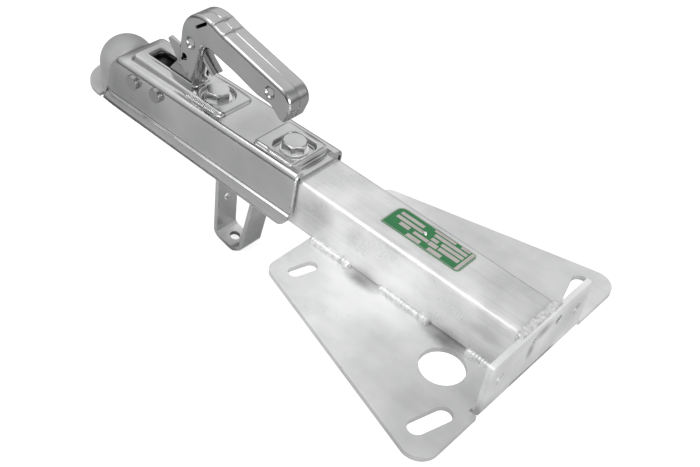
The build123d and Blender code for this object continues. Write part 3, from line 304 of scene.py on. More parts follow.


# Zinc in its several tones: cloudy colour, rolled streaks, fine grain, specks, dark matt zones (real
# stains and painted shade), dull zones and zones of painted shade
def zincFinish(
    name, tone, roughness, patch=0.05, patchScale=22, streak=0.0, streakScale=(6, 260, 260),
    grain=0.15, edge=0.4, specks=0.0, stainsAndShade=(), dull=(), wave=0.0, metallic=1.0, paintedShade=(), pits=(),
    toolMarks=(),
):
    paint, tree, shader = newPaint(name)
    shader.inputs["Metallic"].default_value = metallic
    place = addNode(tree, "ShaderNodeTexCoord").outputs["Object"]
    patches = addNode(tree, "ShaderNodeTexNoise", {"Scale": patchScale, "Detail": 5})
    fine = addNode(tree, "ShaderNodeTexNoise", {"Scale": zinc["grainScale"], "Detail": 3})
    stretch = addNode(tree, "ShaderNodeMapping", {"Scale": streakScale})
    streaks = addNode(tree, "ShaderNodeTexNoise", {"Scale": 1, "Detail": 4})
    centred = addNode(tree, "ShaderNodeMath", {1: 0.5}, operation="SUBTRACT")
    mixed = addNode(tree, "ShaderNodeMath", {1: streak}, operation="MULTIPLY_ADD")
    colour = addNode(tree, "ShaderNodeValToRGB")
    stops = (tone * (1 - patch), zinc["lowTint"]), (min(tone * (1 + patch), 1), zinc["highTint"])
    for element, where, (level, tint) in zip(colour.color_ramp.elements, zinc["clouds"], stops):
        element.position = where
        element.color = (*[level * share for share in tint], 1)
    (low, high), (smooth, coarse) = zinc["glossClouds"], zinc["glossSpread"]
    gloss = addNode(
        tree, "ShaderNodeMapRange",
        {"From Min": low, "From Max": high, "To Min": roughness * smooth, "To Max": roughness * coarse},
    )
    rough = addNode(tree, "ShaderNodeBump", {"Strength": grain, "Distance": zinc["grainDepth"]})
    bevel = addNode(tree, "ShaderNodeBevel", {"Radius": edge * mm}, samples=4)
    link(
        tree,
        (place, patches.inputs["Vector"]),
        (place, fine.inputs["Vector"]),
        (place, stretch.inputs["Vector"]),
        (stretch.outputs[0], streaks.inputs["Vector"]),
        (streaks.outputs["Fac"], centred.inputs[0]),
        (centred.outputs[0], mixed.inputs[0]),
        (patches.outputs["Fac"], mixed.inputs[2]),
        (mixed.outputs[0], colour.inputs["Fac"]),
        (patches.outputs["Fac"], gloss.inputs["Value"]),
        (fine.outputs["Fac"], rough.inputs["Height"]),
        (bevel.outputs[0], rough.inputs["Normal"]),
    )
    base, dulled, normal = colour.outputs["Color"], gloss.outputs[0], rough.outputs[0]
    if wave:  # slow waviness of rolled sheet, which bends the mirrored lights
        slow = addNode(tree, "ShaderNodeTexNoise", {"Scale": zinc["waveScale"], "Detail": 1})
        bend = addNode(tree, "ShaderNodeBump", {"Strength": wave, "Distance": zinc["waveDepth"]})
        link(
            tree,
            (place, slow.inputs["Vector"]),
            (slow.outputs["Fac"], bend.inputs["Height"]),
            (normal, bend.inputs["Normal"]),
        )
        normal = bend.outputs[0]
    if toolMarks:  # close ribs that the press tool left, across the drawbar
        ribs = addNode(tree, "ShaderNodeTexWave", {"Scale": zinc["ribScale"]})
        mask = blobMask(tree, place, toolMarks, broken=0.1, solid=0.7)
        both = addNode(tree, "ShaderNodeMath", operation="MULTIPLY")
        raised = addNode(
            tree, "ShaderNodeBump", {"Strength": zinc["ribStrength"], "Distance": zinc["ribDepth"]},
        )
        link(
            tree,
            (place, ribs.inputs["Vector"]),
            (ribs.outputs["Fac"], both.inputs[0]),
            (mask, both.inputs[1]),
            (both.outputs[0], raised.inputs["Height"]),
            (normal, raised.inputs["Normal"]),
        )
        normal = raised.outputs[0]
    for centre, size, level in paintedShade:  # zones drawn darker in colour: painted shade
        mask = blobMask(tree, place, [(centre, size)], broken=0.12, scale=30, solid=0.25)
        less = addNode(tree, "ShaderNodeMapRange", {"To Min": 1, "To Max": level})
        both = addNode(tree, "ShaderNodeMix", {0: 1.0}, data_type="RGBA", blend_type="MULTIPLY")
        link(
            tree,
            (mask, less.inputs["Value"]),
            (base, both.inputs[6]),
            (less.outputs[0], both.inputs[7]),
        )
        base = both.outputs[2]
    if specks:
        dots = addNode(tree, "ShaderNodeTexNoise", {"Scale": zinc["speckScale"], "Detail": 2})
        first, full = zinc["speckRange"]
        pick = addNode(
            tree, "ShaderNodeMapRange",
            {"From Min": first, "From Max": full, "To Min": 0, "To Max": specks},
        )
        dark = addNode(tree, "ShaderNodeMix", {7: zinc["speckColour"]}, data_type="RGBA")
        crowded = dots.outputs["Fac"]
        if pits:  # rough spots along edges and welds
            more = addNode(tree, "ShaderNodeMath", {1: zinc["pitCrowding"]}, operation="MULTIPLY_ADD")
            link(tree, (blobMask(tree, place, pits), more.inputs[0]), (crowded, more.inputs[2]))
            crowded = more.outputs[0]
        link(
            tree,
            (place, dots.inputs["Vector"]),
            (crowded, pick.inputs["Value"]),
            (pick.outputs[0], dark.inputs["Factor"]),
            (base, dark.inputs[6]),
        )
        base = dark.outputs[2]
    # darker and matt zones: real stains on the flap, and painted shade where the tube's foot meets the
    # plate
    if stainsAndShade:
        mask = blobMask(tree, place, stainsAndShade)
        much = addNode(tree, "ShaderNodeMath", {1: zinc["stainAndShadeLevel"]}, operation="MULTIPLY")
        dark = addNode(tree, "ShaderNodeMix", {7: zinc["stainAndShadeColour"]}, data_type="RGBA")
        matt = addNode(tree, "ShaderNodeMix", {3: zinc["stainAndShadeRoughness"]})
        link(
            tree,
            (mask, much.inputs[0]),
            (much.outputs[0], dark.inputs["Factor"]),
            (base, dark.inputs[6]),
            (mask, matt.inputs["Factor"]),
            (dulled, matt.inputs[2]),
        )
        base, dulled = dark.outputs[2], matt.outputs[0]
    if dull:
        mask = blobMask(tree, place, dull, broken=0.1, solid=0.6)
        matt = addNode(tree, "ShaderNodeMix", {3: zinc["dullRoughness"]})
        chalky = addNode(
            tree, "ShaderNodeMapRange", {"To Min": metallic, "To Max": zinc["dullMetallic"]},
        )
        link(
            tree,
            (mask, matt.inputs["Factor"]),
            (dulled, matt.inputs[2]),
            (mask, chalky.inputs["Value"]),
            (chalky.outputs[0], shader.inputs["Metallic"]),
        )
        dulled = matt.outputs[0]
    link(
        tree,
        (base, shader.inputs["Base Color"]),
        (dulled, shader.inputs["Roughness"]),
        (normal, shader.inputs["Normal"]),
    )
    return paint


def paintFinish(name, colour, roughness, mottled=0.06):
    paint, tree, shader = newPaint(name)
    shader.inputs["Roughness"].default_value = roughness
    place = addNode(tree, "ShaderNodeTexCoord")
    cloud = addNode(tree, "ShaderNodeTexNoise", {"Scale": 120, "Detail": 4})
    tint = addNode(tree, "ShaderNodeValToRGB")
    stops = ((0.35, 1 - mottled), (0.65, 1 + mottled))
    for element, (where, share) in zip(tint.color_ramp.elements, stops):
        element.position = where
        element.color = (*[c * share for c in colour], 1)
    fine = addNode(tree, "ShaderNodeTexNoise", {"Scale": 1100})
    rough = addNode(tree, "ShaderNodeBump", {"Strength": 0.1, "Distance": 0.0001})
    link(
        tree,
        (place.outputs["Object"], cloud.inputs["Vector"]),
        (place.outputs["Object"], fine.inputs["Vector"]),
        (cloud.outputs["Fac"], tint.inputs["Fac"]),
        (tint.outputs["Color"], shader.inputs["Base Color"]),
        (fine.outputs["Fac"], rough.inputs["Height"]),
        (rough.outputs[0], shader.inputs["Normal"]),
    )
    return paint


# Painted shade on the plate and on the tube's foot where the tube meets the plate and no bead runs, in
# millimetres
weldGapShade = [
    ((x, side * 36, -32), (run, 13, 15))
    for side in (-1, 1)
    for x, run in ((397, 30), (503, 34), (569, 13))
]
domeDull = [((-16, 0, 6), (47, 70, 62)), ((40, 0, 44), (34, 30, 12))]
flapStains = [((579, 2, 17), (12, 22, 12)), ((579, -15, 2), (12, 9, 18))]
flapPits = [
    ((578, y, z), (8, wide, tall))
    for y, z, wide, tall in (
        (70, 24, 14, 6), (52, 22, 8, 5), (-80, -22, 6, 10), (20, -31, 14, 4), (60, -31, 12, 4),
    )
]
deckMarks = [
    ((x, side * 24.5, 34), (long, 3.4, 6))
    for x, long in ((148, 30), (266, 22))
    for side in (-1, 1)
]

housingZinc = zincFinish(
    "housingZinc", 0.62, 0.22, patch=0.07, dull=domeDull, wave=0.06,
    toolMarks=[*deckMarks, ((291, 0, 35), (5, 24, 8))],
    # painted shade: the dome, the valley behind it, the near side's front, the mid deck, the rear ramp
    # and the front land's rear slope are drawn darker
    paintedShade=[
        ((-10, 0, 6), (60, 70, 60), 0.74), ((25, 0, 28), (14, 46, 15), 0.4),
        ((40, -36, 0), (90, 14, 40), 0.72), ((212, 0, 35), (34, 44, 8), 0.82),
        ((292, 0, 37), (9, 26, 9), 0.42), ((176, 0, 34), (5, 24, 4), 0.6),
    ],
)
tubeZinc = zincFinish(
    "tubeZinc", 0.88, 0.3, patch=0.12, patchScale=24, streak=0.35, specks=0.3, stainsAndShade=weldGapShade,
    wave=0.24, metallic=0.52, edge=3.7,
    # painted shade: the tube's top, its near side and its low rear end are drawn darker
    paintedShade=[
        ((480, 10, 40), (300, 60, 22), 0.72), ((550, 4, 34), (70, 44, 16), 0.82),
        ((325, -32, -2), (44, 10, 34), 0.8), ((580, -34, -34), (90, 40, 42), 0.72),
        ((540, -32, 2), (26, 10, 12), 0.8),
    ],
)
plateZinc = zincFinish(
    "plateZinc", 0.92, 0.36, patch=0.14, patchScale=16, streak=0.25, streakScale=(9, 60, 60),
    grain=0.3, specks=0.5, stainsAndShade=weldGapShade + flapStains, wave=0.4, metallic=0.68, pits=flapPits,
    # painted shade: the plate's near rear corner, its far side and the flap's far half are drawn darker
    paintedShade=[
        ((575, -110, -38), (190, 120, 30), 0.66), ((470, 110, -34), (200, 90, 50), 0.84),
        ((579, 66, 0), (14, 46, 40), 0.9),
    ],
)
loopZinc = zincFinish(
    # painted shade: the loop's upward-facing base is drawn darker
    "loopZinc", 0.76, 0.34, patch=0.1, edge=0.9, paintedShade=[((200, 0, -147), (60, 60, 8), 0.58)],
)
handleZinc = zincFinish("handleZinc", 0.52, 0.2, patch=0.06, edge=0.5, wave=0.05)
boltZinc = zincFinish("boltZinc", 0.66, 0.26, patch=0.08, edge=0.5)
washerZinc = zincFinish("washerZinc", 0.95, 0.36, patch=0.06)
pinZinc = zincFinish("pinZinc", 0.38, 0.2, patch=0.08)
weldZinc = zincFinish(
    "weldZinc", 0.84, 0.34, patch=0.12, patchScale=240, grain=0.4, specks=0.3, metallic=0.5,
)
roughWeld = zincFinish(
    "roughWeld", 0.74, 0.36, patch=0.2, patchScale=200, grain=0.5, specks=0.5, metallic=0.6,
    pits=[((570, 0, 30), (12, 34, 8))],
)
# the jaw's dark cast iron, darkened further as painted shade for the inside of the slot
jawIronAndShade = zincFinish("jawIronAndShade", 0.07, 0.5, patch=0.2, grain=0.5)
springSteel = zincFinish("springSteel", 0.35, 0.3)
rivetMetal = zincFinish("rivetMetal", 0.8, 0.3)
plateGreen = paintFinish("plateGreen", (0.02, 0.215, 0.065), 0.35)
bareField = paintFinish("bareField", (0.62, 0.57, 0.55), 0.45, mottled=0.05)
finishes = {
    housingZinc: ["housing"],
    tubeZinc: ["drawbar_tube"],
    loopZinc: ["cable_loop"],
    plateZinc: ["base_plate"],
    weldZinc: ["plate_welds"],
    roughWeld: ["end_weld"],
    handleZinc: ["handle_shell", "lever_arm", "safety_catch"],
    boltZinc: ["front_bolt", "rear_bolt", "lock_nuts", "catch_pin", "grip_rivet"],
    washerZinc: ["front_washer", "rear_washer", "lower_washers", "tube_spacers"],
    pinZinc: ["front_pivot_pin", "rear_pivot_pin"],
    rivetMetal: ["type_plate_rivet"],
    plateGreen: ["type_plate"],
    jawIronAndShade: ["ball_jaw"],
    springSteel: ["jaw_spring", "handle_spring", "catch_spring"],
}
for paint, names in finishes.items():
    for name in names:
        mesh = nodes[name].data
        mesh.materials.clear()
        mesh.materials.append(paint)
print("finishes on")


def addPiece(name, mesh, paint, body, hides=()):
    mesh.materials.clear()
    mesh.materials.append(paint)
    obj = bpy.data.objects.new(name, mesh)
    bpy.context.scene.collection.objects.link(obj)
    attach(obj, body)
    if hides:
        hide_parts(*hides)


joinReach = 0.002  # corners nearer than this are one


# A working copy of a CAD node, with its loose triangles joined
def joinedCopy(node):
    work = bmesh.new()
    work.from_mesh(nodes[node].data)
    bmesh.ops.remove_doubles(work, verts=work.verts, dist=joinReach * mm)
    work.normal_update()
    return work


def finishedMesh(name, work, sharpAngle=32):
    mesh = bpy.data.meshes.new(name)
    bmesh.ops.triangulate(work, faces=[f for f in work.faces if len(f.verts) > 4])
    work.to_mesh(mesh)
    work.free()
    mesh.shade_smooth()
    mesh.set_sharp_from_angle(angle=math.radians(sharpAngle))
    obj = bpy.data.objects.new(name, mesh)
    bpy.context.scene.collection.objects.link(obj)
    weigh = obj.modifiers.new("weigh", "WEIGHTED_NORMAL")
    weigh.keep_sharp = True
    bpy.context.view_layer.update()
    done = bpy.data.meshes.new_from_object(obj.evaluated_get(bpy.context.evaluated_depsgraph_get()))
    bpy.data.objects.remove(obj)
    bpy.data.meshes.remove(mesh)
    done.name = name
    return done


# Handle: a seam pressed along the spine, a joint across its rear end, two creases with their lugs
handle = {
    # the spine's faces look up a little and lie above these heights, before and behind the bend
    "spineUp": 0.05,
    "spineHeights": (112.0, 94.0),
    "spineBend": 170.0,
    "cheekSideways": 0.98,  # faces that look sideways as much as this belong to the cheeks
    # the rear end's faces look back and lie behind this x and above this z
    "rearBack": 0.25,
    "rearStart": (258.0, 68.0),
    "seamStart": 112.0,
    "seamHalf": 0.55,
    "seamDepth": 0.7,
    "rearJointHeight": 84.0,
    "rearJointReach": 1.0,
    "rearJointHalf": 0.5,
    "rearJointDepth": 0.6,
    "creases": (153.0, 168.0),
    "creaseHeight": 0.95,
    "creaseWidth": 1.5,
    "creaseMargin": 7,
    "creaseEdge": 15.4,  # half width at which a crease has faded out, and how far in it starts to
    "creaseFade": 4,
    "lugs": ((153.5, 3.0), (168.5, -1.0)),
    "lugHeight": 1.2,
    "lugSize": (2.2, 3.6),
    "sliceStep": 0.9,
    "slicesAcross": 14,  # to either side, a millimetre apart
    "sliceTolerance": 0.0005,
    "lineTolerance": 0.003,
}


def onSpine(face):
    middle = face.calc_center_median() / mm
    before, behind = handle["spineHeights"]
    lowest = before if middle.x < handle["spineBend"] else behind
    upward = face.normal.z > handle["spineUp"] and abs(face.normal.y) < handle["cheekSideways"]
    return upward and middle.z > lowest


def onRearEnd(face):
    middle = face.calc_center_median() / mm
    x, z = handle["rearStart"]
    return face.normal.x > handle["rearBack"] and middle.x > x and middle.z > z


def slicePlane(work, wanted, point, normal):
    faces = [f for f in work.faces if wanted(f)]
    verts = {v for f in faces for v in f.verts}
    edges = {e for f in faces for e in f.edges}
    bmesh.ops.bisect_plane(
        work, geom=[*faces, *verts, *edges], dist=handle["sliceTolerance"] * mm,
        plane_co=Vector(point) * mm, plane_no=normal,
    )


def pressGroove(work, wanted, point, normal, half, depth):
    normal = Vector(normal)
    for step in (-half, 0, half):
        slicePlane(work, wanted, Vector(point) + normal * step, normal)
    work.normal_update()
    line = {v for f in work.faces if wanted(f) for v in f.verts}
    off = {v: abs((v.co / mm - Vector(point)).dot(normal)) for v in line}
    pushes = [(v, v.normal.copy()) for v in line if off[v] < handle["lineTolerance"]]
    for vert, outward in pushes:
        outward -= normal * outward.dot(normal)
        vert.co -= outward.normalized() * depth * mm


def makeHandle():
    work = joinedCopy("handle_shell")
    margin = handle["creaseMargin"]
    low, high = handle["creases"][0] - margin, handle["creases"][1] + margin

    def nearCreases(face):
        xs = [v.co.x / mm for v in face.verts]
        return max(xs) > low and min(xs) < high and onSpine(face)

    where = low
    while where <= high:
        slicePlane(work, nearCreases, (where, 0, 0), (1, 0, 0))
        where += handle["sliceStep"]
    for across in range(-handle["slicesAcross"], handle["slicesAcross"] + 1):
        slicePlane(work, nearCreases, (0, across, 0), (0, 1, 0))
    work.normal_update()
    for vert in {v for f in work.faces if nearCreases(f) for v in f.verts}:
        x, y, z = vert.co / mm
        if not low < x < high:
            continue
        rise = 0
        for crease in handle["creases"]:
            rise += handle["creaseHeight"] * math.exp(-(((x - crease) / handle["creaseWidth"]) ** 2))
        rise *= min(1, max(0, (handle["creaseEdge"] - abs(y)) / handle["creaseFade"]))
        wide, broad = handle["lugSize"]
        for lugX, lugY in handle["lugs"]:
            far = ((x - lugX) / wide) ** 2 + ((y - lugY) / broad) ** 2
            rise += handle["lugHeight"] * math.exp(-far)
        vert.co.z += rise * mm

    def onSeam(face):
        ys = [v.co.y / mm for v in face.verts]
        inside = min(ys) < handle["seamHalf"] and max(ys) > -handle["seamHalf"]
        begun = face.calc_center_median().x > handle["seamStart"] * mm
        return inside and begun and (onSpine(face) or onRearEnd(face))

    pressGroove(work, onSeam, (0, 0, 0), (0, 1, 0), handle["seamHalf"], handle["seamDepth"])
    joint, reach = handle["rearJointHeight"], handle["rearJointReach"]

    def onJoint(face):
        zs = [v.co.z / mm for v in face.verts]
        return min(zs) < joint + reach and max(zs) > joint - reach and onRearEnd(face)

    half, depth = handle["rearJointHalf"], handle["rearJointDepth"]
    pressGroove(work, onJoint, (0, 0, joint), (0, 0, 1), half, depth)
    mesh = finishedMesh("handleSkin", work)
    addPiece("handleSkin", mesh, handleZinc, "handle", ["handle_shell"])
    print("handle", len(mesh.polygons), "faces")


makeHandle()


# Skirts: the soft fold above each flare, its bright rolled line and the lip below
skirts = {
    "side": 36.0,  # half width of the housing's sides
    "upper": 37.8,  # and of the skirts, at the crease and at the foot
    "lower": 42.0,
    "foot": -28.5,
    "creases": ((6.0, -20.0), (303.0, -16.0)),
    "front": 8.0,
    "rear": 297.2,
    "rearLean": 0.045,
    "corner": 12.0,
    "runIn": 14.0,  # from the front, in which the fold grows out of the plain sheet
    "gap": 0.03,
    "columns": 30,
    # half width and height over the crease
    "fold": (
        (36.03, 12.0), (36.1, 8.4), (36.3, 5.6), (36.7, 3.8), (37.3, 2.75), (38.1, 2.2), (39.1, 1.95),
        (40.0, 1.65), (40.5, 0.9), (40.7, -0.1),
    ),
    # half width and share of the way from crease to foot
    "flare": (
        (40.75, 0.14), (40.85, 0.3), (41.05, 0.45), (41.45, 0.64), (42.1, 0.8), (42.8, 0.93),
        (43.1, 1.0),
    ),
    "back": ((41.0, 1.0), (36.6, 0.05)),
    "top": (35.4, 12.0),
}


def smoothedRow(points):  # each pass cuts the corners and keeps the ends
    for _ in range(2):
        cut = [points[0]]
        for a, b in zip(points, points[1:]):
            for share in (0.25, 0.75):
                cut.append(tuple(p * (1 - share) + q * share for p, q in zip(a, b)))
        points = [*cut, points[-1]]
    return points


def makeSkirts():
    (x0, z0), (x1, z1) = skirts["creases"]
    gap = skirts["gap"]
    # half width, height over the crease, share towards the foot
    outer = [(y, up, 0) for y, up in skirts["fold"]] + [(y, 0, share) for y, share in skirts["flare"]]
    rows = smoothedRow(outer)
    hidden = [(y, 0, share) for y, share in skirts["back"]] + [(*skirts["top"], 0)]
    work = bmesh.new()

    def skinPoint(row, step, side):
        y, up, share = row

        def heightAt(x):
            crease = z0 + (z1 - z0) * (x - x0) / (x1 - x0)
            return crease + up - share * (crease - skirts["foot"])

        low = heightAt(skirts["rear"]) - skirts["foot"]
        reach = skirts["rear"] + skirts["rearLean"] * low
        if low < skirts["corner"]:
            reach -= skirts["corner"] - math.sqrt(skirts["corner"] ** 2 - (skirts["corner"] - low) ** 2)
        x = skirts["front"] + (reach - skirts["front"]) * step / skirts["columns"]
        part = min(1, (x - skirts["front"]) / skirts["runIn"])
        part = part * part * (3 - 2 * part)
        plain = skirts["side"]
        if up <= 0:
            plain = skirts["upper"] + share * (skirts["lower"] - skirts["upper"])
        if row not in hidden:
            y = plain + gap + (y - plain - gap) * part
        return Vector((x, side * y, heightAt(x))) * mm

    for side in (-1, 1):
        grid = [
            [work.verts.new(skinPoint(row, step, side)) for step in range(skirts["columns"] + 1)]
            for row in rows + hidden
        ]
        for one, two in zip(grid, grid[1:] + grid[:1]):
            for i in range(skirts["columns"]):
                work.faces.new((one[i], one[i + 1], two[i + 1], two[i]))
        for end in (0, -1):
            work.faces.new([line[end] for line in grid])
    bmesh.ops.recalc_face_normals(work, faces=work.faces)
    mesh = finishedMesh("skirtFolds", work, sharpAngle=50)
    addPiece("skirtFolds", mesh, housingZinc, "root")
    print("skirt folds", len(mesh.polygons), "faces")


makeSkirts()


# Type plate: green sheet with blank light fields, none of them lettered
typePlate = {
    "low": (391.0, -10.5),
    "size": (94.6, 32.0),
    "height": 28.0,
    "lift": 0.01,
    "thickness": 0.6,
    "corners": (0.8, 4.5, 4.5, 8.0),  # near left, near right, far right, far left
    "fieldRise": 0.08,
    "fieldSunk": 0.1,
    "fieldCorner": 0.4,
    "rim": (0.5, 0.45),  # inset and width of the pale line round the plate
    "rimCorner": 0.3,  # least radius at its corners
    "fields": [
        # start and end along the plate, middle and height across it, as shares
        (0.475, 0.745, 0.925, 0.12), (0.81, 0.925, 0.94, 0.12), (0.515, 0.925, 0.75, 0.13),
        (0.525, 0.61, 0.55, 0.13), (0.65, 0.925, 0.56, 0.13), (0.54, 0.65, 0.345, 0.17),
        (0.665, 0.92, 0.36, 0.15), (0.585, 0.755, 0.125, 0.15), (0.31, 0.485, 0.125, 0.15),
        (0.155, 0.285, 0.365, 0.15), (0.34, 0.53, 0.35, 0.13), (0.07, 0.37, 0.77, 0.13),
        (0.065, 0.41, 0.56, 0.13), (0.94, 0.98, 0.50, 0.92),
    ],
}


def roundedOutline(low, size, radii, steps=6):
    x0, y0 = low
    x1, y1 = x0 + size[0], y0 + size[1]
    turns = ((x0, y0, 1, 1, 180), (x1, y0, -1, 1, 270), (x1, y1, -1, -1, 0), (x0, y1, 1, -1, 90))
    outline = []
    for (x, y, inX, inY, first), radius in zip(turns, radii):
        for step in range(steps + 1):
            angle = math.radians(first + 90 * step / steps)
            outline.append((
                x + inX * radius + radius * math.cos(angle),
                y + inY * radius + radius * math.sin(angle),
            ))
    return outline


def addSlab(work, outline, low, high):
    foot = [work.verts.new((x * mm, y * mm, low * mm)) for x, y in outline]
    top = [work.verts.new((x * mm, y * mm, high * mm)) for x, y in outline]
    work.faces.new(list(reversed(foot)))
    work.faces.new(top)
    count = len(outline)
    for i in range(count):
        work.faces.new((foot[i], foot[(i + 1) % count], top[(i + 1) % count], top[i]))


def makeTypePlate():
    low, size, height = typePlate["low"], typePlate["size"], typePlate["height"]
    face = height + typePlate["thickness"]
    sunk, raised = face - typePlate["fieldSunk"], face + typePlate["fieldRise"]
    work = bmesh.new()
    addSlab(work, roundedOutline(low, size, typePlate["corners"]), height + typePlate["lift"], face)
    mesh = finishedMesh("typePlate", work)
    addPiece("typePlate", mesh, plateGreen, "root", ["type_plate"])
    work = bmesh.new()
    for start, end, middle, tall in typePlate["fields"]:
        corner = (low[0] + start * size[0], low[1] + (middle - tall / 2) * size[1])
        span = ((end - start) * size[0], tall * size[1])
        outline = roundedOutline(corner, span, [typePlate["fieldCorner"]] * 4, steps=2)
        addSlab(work, outline, sunk, raised)
    inset, wide = typePlate["rim"]
    loops = []
    for gap in (inset, inset + wide):
        corners = [max(typePlate["rimCorner"], radius - gap) for radius in typePlate["corners"]]
        within = roundedOutline([c + gap for c in low], [s - 2 * gap for s in size], corners)
        for level in (sunk, raised):
            loops.append([work.verts.new((x * mm, y * mm, level * mm)) for x, y in within])
    count = len(loops[0])
    for one, two in ((0, 1), (1, 3), (3, 2), (2, 0)):
        for i in range(count):
            j = (i + 1) % count
            work.faces.new((loops[one][i], loops[one][j], loops[two][j], loops[two][i]))
    mesh = finishedMesh("typePlateFields", work)
    addPiece("typePlateFields", mesh, bareField, "root")
    print("type plate made")


makeTypePlate()


# Geometry Nodes: a tree with named inputs, put on a path and turned into a plain mesh
def newTree(name, inputs):
    tree = bpy.data.node_groups.new(name, "GeometryNodeTree")
    tree.interface.new_socket("Geometry", in_out="INPUT", socket_type="NodeSocketGeometry")
    tree.interface.new_socket("Geometry", in_out="OUTPUT", socket_type="NodeSocketGeometry")
    for label, value in inputs.items():
        kind = "NodeSocketInt" if isinstance(value, int) else "NodeSocketFloat"
        tree.interface.new_socket(label, in_out="INPUT", socket_type=kind).default_value = value
    return tree


def grow(name, mesh, tree, values):
    obj = bpy.data.objects.new(name, mesh)
    bpy.context.scene.collection.objects.link(obj)
    modifier = obj.modifiers.new("grow", "NODES")
    modifier.node_group = tree
    for item in tree.interface.items_tree:
        if item.in_out == "INPUT" and item.name in values:
            modifier[item.identifier] = values[item.name]
    bpy.context.view_layer.update()
    seen = obj.evaluated_get(bpy.context.evaluated_depsgraph_get())
    grown = bpy.data.meshes.new_from_object(seen)
    obj.modifiers.remove(modifier)
    bpy.data.objects.remove(obj)
    grown.name = name
    return grown


def pathMesh(name, paths):
    mesh = bpy.data.meshes.new(name)
    points = [Vector(p) * mm for path in paths for p in path]
    edges, first = [], 0
    for path in paths:
        edges += [(first + i, first + i + 1) for i in range(len(path) - 1)]
        first += len(path)
    mesh.from_pydata(points, edges, [])
    return mesh


# Weld beads: ripples a few millimetres apart, a rough skin and a swollen crater where each ends
beads = {
    "radius": 5.3,
    "ripple": 0.025,
    "rippleSpacing": 3.4,
    "roughness": 0.32,
    "roughScale": 260,
    "spans": ((324.0, 378.0), (416.0, 480.0), (525.0, 567.0)),
    "foot": (31.0, -31.0),
    "seed": 4,
    # share of the bead's length, and of its radius there
    "swelling": (
        (0, 0.25), (0.03, 0.8), (0.08, 1.0), (0.78, 0.98), (0.86, 1.22), (0.95, 1.18), (0.99, 0.8),
        (1, 0.3),
    ),
}


def beadTree(paint, sizes):
    tree = newTree("weldBead", sizes)
    start = addNode(tree, "NodeGroupInput")
    path = addNode(tree, "GeometryNodeMeshToCurve")
    fine = addNode(tree, "GeometryNodeResampleCurve", {"Length": 0.0006}, mode="LENGTH")
    along = addNode(tree, "GeometryNodeSplineParameter")
    pitch = addNode(tree, "ShaderNodeMath", operation="DIVIDE")
    turn = addNode(tree, "ShaderNodeMath", {1: 2 * math.pi}, operation="MULTIPLY")
    wave = addNode(tree, "ShaderNodeMath", operation="SINE")
    sized = addNode(tree, "ShaderNodeMath", {2: 1.0}, operation="MULTIPLY_ADD")
    ends = addNode(tree, "ShaderNodeFloatCurve")
    curve = ends.mapping.curves[0]
    halved = [(where, share / 2) for where, share in beads["swelling"]]  # the curve ends at 1
    for where, level in halved[1:-1]:
        curve.points.new(where, level)
    for point, spot in zip(curve.points, halved):
        point.location = spot
    ends.mapping.update()
    doubled = addNode(tree, "ShaderNodeMath", {1: 2.0}, operation="MULTIPLY")
    both = addNode(tree, "ShaderNodeMath", operation="MULTIPLY")
    width = addNode(tree, "ShaderNodeMath", operation="MULTIPLY")
    thick = addNode(tree, "GeometryNodeSetCurveRadius")
    ring = addNode(tree, "GeometryNodeCurvePrimitiveCircle", {"Resolution": 20, "Radius": 1.0})
    skin = addNode(tree, "GeometryNodeCurveToMesh", {"Fill Caps": True})
    smooth = addNode(tree, "GeometryNodeSetShadeSmooth")
    shift = addNode(tree, "GeometryNodeSetPosition")
    wobble = addNode(
        tree, "ShaderNodeTexNoise", {"Scale": beads["roughScale"], "Detail": 3}, noise_dimensions="4D",
    )
    less = addNode(tree, "ShaderNodeMath", {1: 0.5}, operation="SUBTRACT")
    push = addNode(tree, "ShaderNodeMath", operation="MULTIPLY")
    normal = addNode(tree, "GeometryNodeInputNormal")
    offset = addNode(tree, "ShaderNodeVectorMath", operation="SCALE")
    real = addNode(tree, "GeometryNodeRealizeInstances")
    coat = addNode(tree, "GeometryNodeSetMaterial", {"Material": paint})
    finish = addNode(tree, "NodeGroupOutput")
    link(
        tree,
        (start.outputs["Geometry"], path.inputs[0]),
        (path.outputs[0], fine.inputs["Curve"]),
        (along.outputs["Length"], pitch.inputs[0]),
        (start.outputs["Ripple Spacing"], pitch.inputs[1]),
        (pitch.outputs[0], turn.inputs[0]),
        (turn.outputs[0], wave.inputs[0]),
        (wave.outputs[0], sized.inputs[0]),
        (start.outputs["Ripple"], sized.inputs[1]),
        (along.outputs["Factor"], ends.inputs["Value"]),
        (ends.outputs[0], doubled.inputs[0]),
        (sized.outputs[0], both.inputs[0]),
        (doubled.outputs[0], both.inputs[1]),
        (both.outputs[0], width.inputs[0]),
        (start.outputs["Radius"], width.inputs[1]),
        (fine.outputs[0], thick.inputs["Curve"]),
        (width.outputs[0], thick.inputs["Radius"]),
        (thick.outputs[0], skin.inputs["Curve"]),
        (ring.outputs[0], skin.inputs["Profile Curve"]),
        (width.outputs[0], skin.inputs["Scale"]),
        (skin.outputs[0], shift.inputs["Geometry"]),
        (start.outputs["Seed"], wobble.inputs["W"]),
        (wobble.outputs["Fac"], less.inputs[0]),
        (less.outputs[0], push.inputs[0]),
        (start.outputs["Roughness"], push.inputs[1]),
        (normal.outputs[0], offset.inputs[0]),
        (push.outputs[0], offset.inputs["Scale"]),
        (offset.outputs[0], shift.inputs["Offset"]),
        (shift.outputs[0], smooth.inputs["Geometry"]),
        (smooth.outputs[0], real.inputs[0]),
        (real.outputs[0], coat.inputs["Geometry"]),
        (coat.outputs[0], finish.inputs[0]),
    )
    return tree


